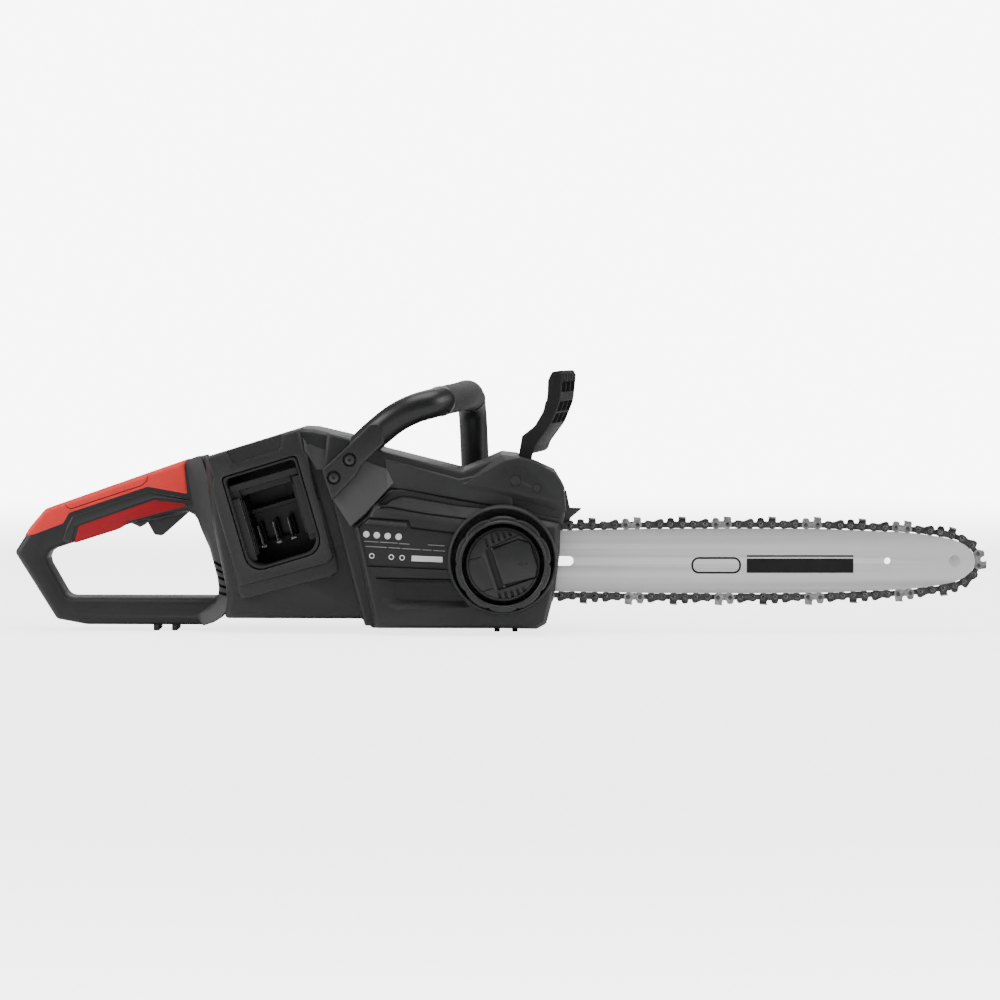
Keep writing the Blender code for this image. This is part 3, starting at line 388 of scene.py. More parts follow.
def finish(name, color, second, rough, grain=1400.0, depth=0.12, metallic=0.0, edge=0.5, stretch=(1, 1, 1),
           patch=18.0, specular=0.5, wear=None):
    """A material with patches of a second colour, a fine grain in the bump, uneven gloss and soft edges."""
    made, tree, shader = nodes_of(name)
    link = tree.links.new
    spot = tree.nodes.new("ShaderNodeTexCoord")
    stretched = tree.nodes.new("ShaderNodeMapping")
    stretched.inputs["Scale"].default_value = stretch
    link(spot.outputs["Object"], stretched.inputs["Vector"])
    patches = add(tree, "ShaderNodeTexNoise", Scale=patch, Detail=5.0, Roughness=0.6)
    fine = add(tree, "ShaderNodeTexNoise", Scale=grain, Detail=3.0, Roughness=0.7)
    link(stretched.outputs[0], patches.inputs["Vector"])
    link(stretched.outputs[0], fine.inputs["Vector"])
    ramp = tree.nodes.new("ShaderNodeValToRGB")
    ramp.color_ramp.elements[0].position, ramp.color_ramp.elements[1].position = 0.32, 0.7
    ramp.color_ramp.elements[0].color, ramp.color_ramp.elements[1].color = (*color, 1), (*second, 1)
    link(patches.outputs["Fac"], ramp.inputs["Fac"])
    tint = ramp.outputs["Color"]
    if wear:
        pointy = tree.nodes.new("ShaderNodeNewGeometry")
        edges = add(tree, "ShaderNodeMapRange", From_Min=WORN_FROM, From_Max=WORN_TO, To_Min=0.0,
                    To_Max=WORN_MOST)
        mix = tree.nodes.new("ShaderNodeMix")
        mix.data_type = "RGBA"
        mix.inputs["B"].default_value = (*wear, 1)
        link(pointy.outputs["Pointiness"], edges.inputs["Value"])
        link(edges.outputs["Result"], mix.inputs["Factor"])
        link(tint, mix.inputs["A"])
        tint = mix.outputs["Result"]
    link(tint, shader.inputs["Base Color"])
    gloss = add(tree, "ShaderNodeMapRange", To_Min=rough - ROUGH_SPREAD, To_Max=rough + ROUGH_SPREAD)
    link(patches.outputs["Fac"], gloss.inputs["Value"])
    link(gloss.outputs["Result"], shader.inputs["Roughness"])
    bump = add(tree, "ShaderNodeBump", Strength=depth, Distance=BUMP_HEIGHT)
    link(fine.outputs["Fac"], bump.inputs["Height"])
    if edge:
        soft = tree.nodes.new("ShaderNodeBevel")
        soft.samples = 4
        soft.inputs["Radius"].default_value = edge * MM
        link(soft.outputs["Normal"], bump.inputs["Normal"])
    link(bump.outputs["Normal"], shader.inputs["Normal"])
    shader.inputs["Metallic"].default_value = metallic
    shader.inputs["Specular IOR Level"].default_value = specular
    return made


MATERIALS = {
    "case": finish("case_nylon", (0.0085, 0.0085, 0.009), (0.0125, 0.0125, 0.013), 0.5,
        depth=0.4, edge=0.9, specular=0.26, wear=(0.05, 0.05, 0.05)),
    # A lighter copy of the case plastic: painted highlight on the shoulder facet, which faces the lamps.
    "facet": finish("case_nylon_painted_highlight", (0.021, 0.021, 0.0215), (0.028, 0.028, 0.0285), 0.5,
        depth=0.4, edge=0.9, specular=0.32, wear=(0.05, 0.05, 0.05)),
    # A darker copy of the case plastic: painted shade for the groove's floor and the blade guides deep in the
    # bay.
    "case_painted_shade": finish("case_painted_recess_shade", (0.007, 0.007, 0.007), (0.010, 0.010, 0.010), 0.6,
        depth=0.3, specular=0.25),
    "smooth": finish("smooth_black", (0.0085, 0.0085, 0.009), (0.0125, 0.0125, 0.013), 0.38,
        grain=900, edge=0.6, specular=0.32),
    "tube": finish("handle_gloss", (0.0045, 0.0045, 0.005), (0.007, 0.007, 0.0075), 0.36,
        grain=800, depth=0.1, edge=0.6, specular=0.28),
    "rubber": finish("soft_rubber", (0.022, 0.022, 0.023), (0.030, 0.030, 0.031), 0.75,
        grain=1100, depth=0.5, specular=0.3),
    "red": finish("red_overmould", (0.50, 0.014, 0.013), (0.58, 0.022, 0.018), 0.55,
        grain=1500, depth=0.35, edge=0.9, specular=0.3),
    # A darker copy of the red: painted shade on the lower grip, which faces down away from the lamps.
    "red_painted_shade": finish("red_underside_painted_shade", (0.19, 0.002, 0.006), (0.24, 0.004, 0.009), 0.55,
        grain=1500, depth=0.35, edge=0.9, specular=0.2),
    "bar": finish("ground_steel", (0.25, 0.25, 0.25), (0.262, 0.262, 0.26), 0.52,
        grain=900, metallic=0.75, edge=0.3, stretch=(0.03, 1, 1), patch=60, wear=(0.8, 0.8, 0.8)),
    "chain_dark": finish("blued_links", (0.022, 0.022, 0.023), (0.07, 0.07, 0.072), 0.36,
        grain=1600, depth=0.15, metallic=0.9, edge=0.25, patch=220),
    "chain_bright": finish("chrome_cutter", (0.10, 0.10, 0.10), (0.30, 0.30, 0.30), 0.3,
        grain=1600, metallic=0.95, edge=0.25, patch=220),
    "rivet": finish("rivet_steel", (0.025, 0.025, 0.026), (0.10, 0.10, 0.10), 0.3,
        grain=1600, depth=0.1, metallic=0.95, edge=0.2, patch=300),
    "black_steel": finish("black_oxide", (0.022, 0.022, 0.023), (0.04, 0.04, 0.042), 0.4,
        grain=1300, depth=0.2, metallic=0.6, edge=0.3, patch=60),
    "print": finish("printed_ink", (0.008, 0.008, 0.008), (0.012, 0.012, 0.012), 0.65,
        grain=1600, depth=0.1, edge=0, specular=0.1),
    "matte": finish("matte_nylon", (0.008, 0.008, 0.0085), (0.012, 0.012, 0.0125), 0.7,
        depth=0.4, edge=0.9, specular=0.10),
    "mark": finish("pale_print", (0.40, 0.40, 0.39), (0.5, 0.5, 0.49), 0.55, grain=1600, depth=0.1, edge=0),
    "mark_dim": finish("dim_print", (0.10, 0.10, 0.10), (0.16, 0.16, 0.16), 0.55,
        grain=1600, depth=0.1, edge=0),
    "blade": finish("contact_blade", (0.55, 0.55, 0.53), (0.66, 0.66, 0.64), 0.4,
        depth=0.1, metallic=0.25, edge=0.2),
    "iron": finish("motor_iron", (0.30, 0.30, 0.31), (0.40, 0.40, 0.41), 0.4,
        depth=0.15, metallic=0.9, edge=0.3),
    "board": finish("board_lacquer", (0.02, 0.10, 0.045), (0.03, 0.15, 0.06), 0.4, depth=0.1, edge=0.2),
    "tank": finish("tank_polyethylene", (0.50, 0.50, 0.45), (0.58, 0.58, 0.52), 0.45, depth=0.1),
}
SLOT_FINISH = {
    "case_plastic": "case", "red_grip": "red", "rubber": "rubber", "dark_plastic": "smooth",
    "bar_steel": "bar", "chain_steel": "chain_dark", "black_steel": "black_steel",
    "terminal_brass": "blade", "motor_metal": "iron", "board": "board", "tank_plastic": "tank",
}


def piece(obj, body, slot, finish_name=None, stands_for=(), angle=30):
    """Gives a new piece its material, picked by its slot when no finish is named, its shading and its body."""
    obj.data.materials.clear()
    obj.data.materials.append(MATERIALS[finish_name or SLOT_FINISH[slot]])
    obj.data.shade_smooth()
    obj.data.set_sharp_from_angle(angle=math.radians(angle))
    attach(obj, body)
    if stands_for:
        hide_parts(*stands_for)
    return obj


def case_piece(obj, finish_name=None, stands_for=()):
    """A new piece of the saw's case."""
    return piece(obj, "saw", "case_plastic", finish_name, stands_for)


def finish_frame():
    """Gives every CAD node that still shows its procedural material."""
    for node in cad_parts.values():
        old = node.data.materials[0].name.split(".")[0] if node.data.materials else ""
        node.data.materials.clear()
        node.data.materials.append(MATERIALS[SLOT_FINISH.get(old, "smooth")])
        node.data.shade_smooth()
        node.data.set_sharp_from_angle(angle=math.radians(30))


# ---- housing
SIDE_NAME = {-1: "right", 1: "left"}
BAY_MIDDLE = (-193.6, 100.2)
BAY_TILT = math.radians(16.4)


def handle_loop(side):
    """One half of the rear handle's closed loop, with its opening's rounded rim."""
    levels = [(0.15, 0), (11, 0), (14, 0.7), (16.2, 2.0), (17.5, 3.6), (18, 5.6)]
    loop = slab(f"handle_loop_{SIDE_NAME[side]}", HANDLE, [(side * y, d) for y, d in levels])
    mouth = [(-1, 0), (11, 0), (14, -0.7), (16.2, -2.0), (17.5, -3.6), (18, -5.0), (20, -9)]
    cut(loop, slab("mouth", HANDLE_OPENING, [(side * y, d) for y, d in mouth]))
    return loop


def post_band(side):
    """The facet that runs down beside the handle's opening and turns into its foot."""
    stations = [
        ((-270, 143.6), (-266, 145.6), (-254.9, 147.8)), ((-270, 138), (-264.6, 140.8), (-252.9, 143)),
        ((-268, 124), (-260.3, 124.6), (-247.9, 126.4)), ((-264, 104), (-255.9, 102.8), (-243.5, 104)),
        ((-257, 85), (-252, 85.5), (-240.4, 86.5)), ((-250.4, 70), (-247.8, 70.5), (-236.6, 71.5)),
        ((-246.9, 57), (-244.6, 57.8), (-232.8, 59)), ((-243.6, 44), (-241.8, 44.4), (-228.4, 44.6)),
        ((-242.6, 36), (-241.2, 36), (-227.6, 35)), ((-242.9, 29), (-241.6, 28.2), (-228.2, 26.6)),
        ((-246, 24), (-244, 22.2), (-232.2, 18.6)), ((-251, 20), (-249, 17), (-238.4, 11.4)),
        ((-258, 17), (-255.5, 13.6), (-246, 6.6)), ((-266, 14), (-262, 11.4), (-254.5, 3.6)),
    ]
    work = bmesh.new()
    rings = []
    for (edge, near, far), sink in zip(stations, [0.0] * (len(stations) - 2) + [2.0, 5.0]):
        rings.append([place(edge[0], side * (17.4 - sink), edge[1]),
                      place(near[0], side * (22.5 - sink), near[1]),
                      place(far[0] - 1.2, side * (30 - 1.6 * sink), far[1]),
                      place(far[0], side * (28.5 - 1.6 * sink), far[1]),
                      place(far[0], side * 2, far[1]), place(edge[0], side * 2, edge[1])])
    add_rings(work, rings)
    bmesh.ops.triangulate(work, faces=[f for f in work.faces if len(f.verts) == 4])
    return new_object(f"post_band_{SIDE_NAME[side]}", work)


def vent_slashes(side):
    """Tools for the five slashes cut into the handle's foot."""
    tools = []
    for i, (x, z) in enumerate([(-242.2, 56.2), (-240.8, 50.2), (-239.2, 44.0), (-238.4, 37.2), (-238.4, 31.0)]):
        lean = 2.4 - 0.4 * i
        outline = [(x - 5.4, z + lean - 1.0), (x - 5.0, z + lean + 1.1), (x + 2.6, z - lean * 0.7 + 1.3),
                   (x + 3.4, z - lean * 0.8), (x + 2.6, z - lean * 0.7 - 1.1)]
        tools.append(loft(f"slash_{i}", [(side * 16, outline), (side * 36, outline)]))
    return tools


def bay_tool(y0, y1):
    return loft("bay", [(y0, BAY), (y1, BAY)], steps=6)


def drive_space():
    """Room for the bar, chain and sprocket behind the cover, open to the front."""
    corners = [(-84, 30), (-40, 24), (70, 24), (70, 92), (-60, 92), (-84, 84)]
    return loft("drive_space", [(-27.5, corners), (-60, corners)])


def right_housing():
    handle_right = join(handle_loop(-1), post_band(-1))
    cut(handle_right, *vent_slashes(-1))
    case_piece(handle_right)

    core = slab("rear_body_right", BODY, [(-0.15, 0), (-36, 0), (-40, 1.0), (-43, 3.0), (-44, 5.5)])
    cut(core, bay_tool(5, -60), drive_space())
    case_piece(core, stands_for=["housing_right"])

    platform = slab("bay_surround", PLATFORM, [(-20, 0), (-48.5, 0), (-50.6, 0.6), (-51.7, 1.5), (-52, 2.4)])
    recess = [(-236, 160), (-233.9, 154.6), (-227.9, 143.8, 1), (-226.7, 142.4, 1), (-188.5, 153.8, 1),
              (-186.1, 156.7, 1), (-185.4, 180), (-236, 180)]
    cut(platform, bay_tool(5, -60), slab("recess", recess, [(-50.2, 0.5), (-52.2, -0.6), (-56, -0.6)]))
    case_piece(platform)

    skirt = slab("bay_skirt", SKIRT, [(-20, 0), (-45.5, 0), (-47, 0.8), (-47.6, 2.0)])
    cut(skirt, bay_tool(5, -60))
    case_piece(skirt)
    make_bay_lip()
    bay_details()

    block = slab("front_body_right", FRONT_BLOCK, [(-0.2, 0.2), (-46, 0.2), (-48.6, 1.0), (-49.7, 2.2),
                                                   (-50, 3.6)])
    cut(block, drive_space())
    case_piece(block)
    upper = loft("front_shoulder", [(-40, SHOULDER_FOOT), (-50, SHOULDER_FOOT), (-53.8, SHOULDER),
                                    (-54.2, inset(SHOULDER, 0.8))])
    for x, z, r in ((10.5, 128.5, 5), (28.3, 122.3, 4)):
        cut(upper, turned_ring("emboss", x, z, [(-53.8, r), (-58, r), (-58, r - 0.9), (-53.8, r - 0.9)], 32))
    case_piece(upper)
    ledge = slab("front_ledge", [(-99, 147.2, 1), (-36.6, 130.2, 1), (8, 140, 1), (8, 104, 1), (-60, 116, 1),
                                 (-97, 122.4, 2)], [(-45, 0), (-50.4, 0), (-51.6, 1.4)])
    case_piece(ledge)
    # The shoulder facet is drawn in the lighter case copy: painted highlight where it faces up to the left.
    facet = prism("shoulder_facet", [
        (-142.5, -50, 112), (-150, -50.2, 137.2), (-121, -51, 147), (-97.5, -51.5, 138.5), (-92, -51.8, 126.6),
        (-97.5, -56, 121), (-115, -57.2, 101.5), (-128, -57.2, 90.3)], -30)
    case_piece(facet, "facet")
    slope = prism("rear_top_facet", [
        (-170, -40, 172.5), (-131, -37, 165.7), (-150, -50, 137.8), (-157, -50, 137.8), (-163.4, -50, 149.0),
        (-166.7, -50, 153.2)], -20)
    case_piece(slope)


def make_bay_lip():
    """The rim of the battery bay's insert: a thin gap and a rounded frame inside it."""
    rim = loft("bay_rim", [(-30, inset(BAY, 0.7)), (-50.4, inset(BAY, 0.7)), (-51.2, inset(BAY, 1.4)),
                           (-51.2, inset(BAY, 2.2))], steps=6)
    cut(rim, loft("rim_inside", [(-25, inset(BAY, 3.0)), (-50.2, inset(BAY, 3.0)), (-53, inset(BAY, 2.0))],
                  steps=6))
    piece(rim, "saw", "dark_plastic", "case")


def bay_spot(along, up):
    """A point of the bay from its middle, along its own tilted axes."""
    return (BAY_MIDDLE[0] + along * math.cos(BAY_TILT) - up * math.sin(BAY_TILT),
            BAY_MIDDLE[1] + along * math.sin(BAY_TILT) + up * math.cos(BAY_TILT))


def bay_block(name, across, depth, up, edge=0.6):
    """A block in the bay between two places across, in depth (y, its front first) and up."""
    corners = [(*bay_spot(across[a], up[u]), edge) for a, u in ((0, 0), (1, 0), (1, 1), (0, 1))]
    return slab(name, corners, [(depth[1], 0), (depth[0] + 0.5, 0), (depth[0], 0.5)])


def bay_details():
    """Ledges at the bay's top, guide rails with lips, and the feet of the contact blades."""
    parts = [bay_block("bay_top_ledge", (-30, 30), (-45, -30), (27, 33)),
             bay_block("bay_second_ledge", (-25, 22), (-31, -2), (21.5, 27)),
             bay_block("bay_left_rail", (-31.5, -24), (-44, 19.5), (-34, 21)),
             bay_block("bay_left_lip", (-24.2, -22), (-30, 19.5), (-30, 18)),
             bay_block("bay_right_rail", (24, 31.5), (-44, 19.5), (-26, 26)),
             bay_block("bay_right_lip", (20.5, 24.2), (-30, 19.5), (-24, 20)),
             bay_block("bay_mid_ledge", (-22, 20), (4, 19.5), (3, 7))]
    for part in parts:
        piece(part, "saw", "dark_plastic", "smooth")
    piece(bay_block("bay_shelf", (-19, 6), (8, 19), (-23.2, -22.2), 0.2), "saw", "dark_plastic", "rubber")
    for i, across in enumerate((-19.8, -6.4, 6.7)):
        blade = join(bay_block(f"contact_blade_{i}", (across - 0.5, across + 0.5), (-4, 19.6), (-25.4, -7.9),
                               0.2),
                     bay_block("foot", (across - 2.4, across + 2.4), (3, 8), (-27.4, -25.2), 0.3))
        piece(blade, "saw", "terminal_brass", "blade", stands_for=[f"terminal_blade_{i + 1}"])
        guide = bay_block(f"blade_guide_{i}", (across + 1.8, across + 4.2), (6, 19.6), (-24, -6), 0.4)
        # The blade guides are drawn in the darker case copy: painted shade inside the bay.
        piece(guide, "saw", "dark_plastic", "case_painted_shade")


def vent_outline(n):
    x = -104 + 11 * n
    return [(x - 2.4, 84, 2), (x + 2.4, 84, 2), (x + 6.4, 122, 2), (x + 1.6, 122, 2)]


def left_housing():
    handle_left = join(handle_loop(1), post_band(1))
    cut(handle_left, *vent_slashes(1))
    case_piece(handle_left)
    core = slab("body_left", BODY, [(0.15, 0), (40, 0), (45, 1.2), (48.4, 3.4), (50, 6.5)])
    cut(core, bay_tool(-5, 38.4))
    vents = [loft(f"vent_{n}", [(44, vent_outline(n)), (60, vent_outline(n))]) for n in range(6)]
    cut(core, *vents)
    panel = [(-236, 137, 6), (-172, 160, 6), (-128, 152, 6), (-112, 128, 8), (-112, 34, 8), (-132, 22, 8),
             (-214, 24, 8), (-228, 60, 10)]
    cut(core, slab("left_panel_recess", panel, [(48.9, 0.8), (50.4, -0.4), (56, -0.4)]))
    case_piece(core, stands_for=["housing_left"])
    for i in range(6):
        x = -214 + 13 * i
        rib = slab(f"left_rib_{i}", [(x, 40, 2), (x + 4, 40, 2), (x + 10, 118, 2), (x + 6, 118, 2)],
                   [(46, 0), (49.4, 0), (49.9, 0.7)])
        case_piece(rib)


# ---- grips and trigger
def grips():
    slot = [(-308, 76), (-312.5, 107), (-285, 114), (-284, 118), (-262, 118), (-262, 76)]
    line = [(-373.3, 107.9), (-371.4, 104.4), (-368.3, 102.9), (-338, 112.9), (-307.6, 122.9), (-303.4, 126.4),
            (-300.8, 137)]
    # The lower grip is drawn in the darker red copy: painted shade on its underside.
    for name, outline, shade, levels in (
            ("grip_top", GRIP_TOP, "red", [(13.5, 0), (16.6, 0.8), (18.2, 2.6), (18.5, 4.0)]),
            ("grip_lower", GRIP_LOWER, "red_painted_shade", [(17, 0), (18.0, 0.6), (18.4, 1.6)])):
        grip = slab(f"{name}_skin", outline, both_ways(levels))
        cut(grip, loft("slot", [(-7.2, slot), (7.2, slot)]))
        if name == "grip_top":
            cut(grip, slit("line_right", line, 0.7, -17.7, -22), slit("line_left", line, 0.7, 17.7, 22))
        piece(grip, "saw", "red_grip", shade, stands_for=[name])
    for side in (-1, 1):
        stripe = slab(f"grip_stripe_{side + 1}", STRIPE,
                      [(side * y, d) for y, d in ((10, 0), (17.4, 0), (18.4, 0.5), (18.9, 1.4), (19.0, 2.0))])
        case_piece(stripe, "smooth")
        bezel = slab(f"trigger_bezel_{side + 1}", TRIGGER_BEZEL,
                     [(side * y, d) for y, d in ((7.3, 0), (9.6, 0), (10.4, 0.5), (10.6, 1.0))])
        case_piece(bezel, "smooth")
    trigger = slab("trigger_lever", TRIGGER, both_ways([(5, 0), (5.9, 0.4), (6.4, 1.4)]))
    cut(trigger, disc("bore", -274, 107.5, [(-10, 2.1), (10, 2.1)], 20))
    piece(trigger, "trigger", "dark_plastic", "case", stands_for=["trigger"])


# ---- cover
def cover():
    part_way = 0.16
    middle = [(a[0] + (b[0] - a[0]) * part_way, a[1] + (b[1] - a[1]) * part_way, a[2])
              for a, b in zip(COVER_BASE, COVER_FACE)]
    body = loft("cover_shell", [(-28, COVER_BASE), (-53.5, COVER_BASE), (-55, middle),
                                (-61.3, inset(COVER_FACE, 0)), (-62, inset(COVER_FACE, 1.2))])
    # A dark sheet at the foot of the groove: painted shade where the groove lies in shadow.
    painted_shade_sheet = slab("cover_slot", inset(GROOVE, 0.9), [(-53.2, 0), (-54.6, 0)])
    case_piece(painted_shade_sheet, "case_painted_shade")
    cut(body, slab("groove", GROOVE, [(-53.9, 0.9), (-55, 0), (-58, -0.5), (-66, -0.5)]),
        slab("panel", LABEL_PANEL, [(-60.1, 0.5), (-62.3, -0.3), (-66, -0.3)]),
        slit("panel_top", [(-121.3, 89.4), (-113.7, 98.0), (-79.2, 95.4), (-77.2, 89.7), (-39, 84.8)], 1.5,
             -58.6, -66),
        slit("panel_foot", [(-114, 57.2), (-46, 54.2)], 0.8, -59.4, -66),
        slit("crease", [(-103, 106.3), (-95.5, 106.6), (-63.5, 101.0), (-24, 96.0)], 1.5, -59.4, -66),
        slit("pocket_line", [(-106.5, 47.4), (-43, 46.0)], 1.3, -59.2, -66),
        slit("front_gap", [(14, 101.6), (60, 93.2)], 5.6, -52.6, -70),
        loft("pocket", [(-55, POCKET_FLOOR), (-62.2, POCKET_MOUTH), (-66, POCKET_MOUTH)]),
        disc("dish", DISH_X, DISH_Z, [(-52, DISH_RADIUS), (-70, DISH_RADIUS)], 64),
        disc("hub_hole", 0, STUD_Z, [(-60, 12), (-20, 12)], 32),
        box("bar_mouth", (26, -47, 11), (70, -20, 110)),
        loft("inside", [(-20, inset(COVER_BASE, 3)), (-49, inset(COVER_BASE, 3))]))
    case_piece(body, stands_for=["sprocket_cover"])
    rim = turned_ring("dish_rim", DISH_X, DISH_Z, [
        (-50.8, 43.0), (-50.8, 46.2), (-62.5, 46.2), (-64.8, 45.7), (-65.8, 44.9), (-66, 44.0), (-65.4, 43.1),
        (-64, 42.6), (-62, 42.4), (-53, 42.4)], 96)
    case_piece(rim)


def panel_marks():
    """Plain discs, dashes, rings and a tag in the label panel, which carry no text."""
    plate = slab("panel_plate", LOZENGE, [(-59.4, 0), (-61.8, 0.4), (-62.9, 1.3)])
    case_piece(plate)
    for i, (x, z) in enumerate([(-114.6, 84.0), (-105.8, 83.2), (-96.7, 82.5), (-87.5, 81.9)]):
        case_piece(disc(f"panel_dot_{i}", x, z, [(-60.1, 2.7), (-60.45, 2.7)], 28), "mark")
    dashes = [(-116.4, 78.2, 12), (-103.4, 77.4, 15), (-87.2, 76.2, 9), (-63, 75.1, 14), (-115.2, 73.9, 18),
              (-96, 72.8, 10), (-85, 72.0, 16), (-67.8, 71, 8), (-58.6, 70.4, 10)]
    for i, (x, z, length) in enumerate(dashes):
        dash = slit(f"panel_line_{i}", [(x, z), (x + length, z - 0.061 * length)], 0.7, -60.1, -60.4)
        case_piece(dash, "mark_dim")
    for i, x in enumerate((-110, -93.6, -84.6)):
        ring = turned_ring(f"panel_ring_{i}", x, 65.8 - 0.06 * (x + 110),
                           [(-60.1, 2.3), (-60.4, 2.3), (-60.4, 1.5), (-60.1, 1.5)], 24)
        case_piece(ring, "mark")
    tag = [(-76.5, 66.1), (-50.7, 65.0), (-50.7, 60.4), (-76.9, 61.4)]
    case_piece(loft("panel_tag", [(-60.1, tag), (-60.45, tag)]), "mark")


def lobed(radius, depth, sides=120):
    """The dial's outline, with ten lobes between narrow grooves."""
    made = []
    for i in range(sides):
        angle = 2 * math.pi * i / sides
        r = radius + depth * (abs(math.sin(5 * angle)) ** 0.35 - 0.6)
        made.append((r * math.cos(angle), STUD_Z + r * math.sin(angle)))
    return made


def knob():
    work = bmesh.new()
    outlines = [(y, lobed(radius, depth)) for y, radius, depth in (
        (-52.5, 39.4, 0), (-60, 39.6, 1.4), (-72.6, 39.6, 1.6), (-73.9, 38.9, 1.4), (-74.5, 37.6, 0.6))]
    outlines += [(y, circle(0, STUD_Z, radius, 120)) for y, radius in (
        (-74.5, 36.8), (-76.9, 36.7), (-77.5, 36.2), (-77.5, 35.1), (-76.9, 34.5), (-53.2, 34.5))]
    rings = [[place(x, y, z) for x, z in outline] for y, outline in outlines]
    add_rings(work, rings + rings[:1], caps=False)
    bmesh.ops.remove_doubles(work, verts=work.verts, dist=1e-7)
    piece(new_object("tension_dial", work), "ring", "dark_plastic", "smooth", stands_for=["tension_ring"])

    wheel = disc("knob_wheel", 0, STUD_Z, [(-52.8, 31.3), (-71, 31.3), (-72.0, 30.9), (-72.5, 30.0),
                                           (-72.5, 29.0), (-73.2, 28.4), (-73.4, 27.6)], 96)
    recess = inset(TAB, -0.7)
    recess[0], recess[-1] = (-14.6, 71.8, 1), (-4.2, 37.6, 1)
    tools = [loft("recess", [(-68.4, recess), (-80, recess)])]
    upper = [(-13.4, 74, 82), (-8.6, 77.4, 85.2), (-3.8, 79.4, 87), (1.0, 81.4, 87.6), (5.8, 83.4, 87)]
    lower = [(-3.2, 31.4, 35.8), (2.0, 31.6, 36.8), (7.2, 32.4, 38), (12.2, 34, 39.4), (17, 36.8, 40.6)]
    for slots, at_low, at_high in ((upper, 0.8, -1.2), (lower, 1.2, -0.4)):
        for x, low, high in slots:
            tools.append(slit("slot", [(x + at_low, low), (x + at_high, high)], 2.3, -69.6, -80))
    for line in ([(-29.4, 63.2), (-18.6, 65.6)], [(-17.6, 36.6), (-8.4, 39.6)], [(-14.4, 72), (18, 86.6)]):
        tools.append(slit("seam", line, 0.7, -71.6, -80))
    cut(wheel, *tools)
    piece(wheel, "knob", "dark_plastic", "smooth", stands_for=["clamp_knob"])
    # The hinge strip is drawn in the lighter rubber finish: painted light on its face, which turns left towards
    # the lamps.
    strip = prism("knob_hinge_strip",
                  [(-18.8, -72.6, 69.2), (-15.2, -74.6, 70.3), (-4.2, -74.6, 37.6), (-7.8, -72.6, 36.2)], -71)
    piece(strip, "knob", "dark_plastic", "rubber")
    tab = slab("knob_lever", TAB, [(-69.2, 0.3), (-70, 0), (-73.8, 0), (-74.8, 0.6), (-75.2, 1.6)])
    arrow = [(12.2, 60.4), (15.4, 62.6), (15.4, 61.2), (20.6, 61.9), (20.9, 60.1), (15.6, 59.4), (15.6, 58.0)]
    cut(tab, slab("arrow", arrow, [(-74.7, 0), (-80, 0)]))
    piece(tab, "tab", "dark_plastic", "smooth", stands_for=["knob_tab"])


# ---- handles, guard, screws
PLATE_SCREWS = [(-128.6, 146.2), (-141.9, 131.3)]
TUBE_RADIUS = 12.4


def front_handle():
    plate = slab("handle_plate", HANDLE_PLATE,
                 [(-50.2, 0), (-55.6, 0), (-56.8, 0.6), (-57.4, 1.6), (-57.5, 2.6)])
    for i, (x, z) in enumerate(PLATE_SCREWS):
        cut(plate, disc(f"seat_{i}", x, z, [(-53.4, 5.6), (-56.8, 5.8), (-57.6, 6.2), (-60, 6.2)], 32))
    case_piece(plate, "smooth")
    route = smooth_route(HANDLE_ROUTE, 6)
    near, sleeve, far = route[:31], route[26:57], route[53:]
    radii = [TUBE_RADIUS] * (len(near) - 4) + [13.0, 12.9, 11.9, 9.5]
    case_piece(sweep("handle_tube_near", near, radii), "tube", stands_for=["front_handle"])
    grooves = [12.5 - 0.35 * (i % 2) for i in range(len(sleeve))]
    grip = sweep("handle_sleeve", sleeve, grooves)
    piece(grip, "saw", "rubber", stands_for=["front_handle_grip"], angle=60)
    radii = [9.5, 11.9, 13.0] + [TUBE_RADIUS] * (len(far) - 3)
    case_piece(sweep("handle_tube_far", far, radii), "tube")
    flange = [(-33, 84.5, 4), (-9, 84.5, 4), (-9, 28, 4), (-33, 28, 4)]
    plate = slab("handle_flange", flange, [(50.2, 0), (55.6, 0), (56.6, 0.6), (57, 1.6)])
    case_piece(plate, "smooth")


def screw(name, node, x, z, y_face, y_back, radius):
    """A screw head with a six-lobed socket."""
    out = -1 if y_face < y_back else 1
    head = disc(name, x, z, [(y_back, radius), (y_face - out * 1.0, radius),
                             (y_face - out * 0.3, radius * 0.86), (y_face, radius * 0.6)], 28)
    socket = []
    for i in range(12):
        reach = radius * 0.42 * (1 if i % 2 else 0.62)
        socket.append((x + reach * math.cos(math.pi * i / 6), z + reach * math.sin(math.pi * i / 6)))
    cut(head, loft("socket", [(y_face - out * 1.6, socket), (y_face + out * 3, socket)]))
    piece(head, "saw", "black_steel", stands_for=[node])


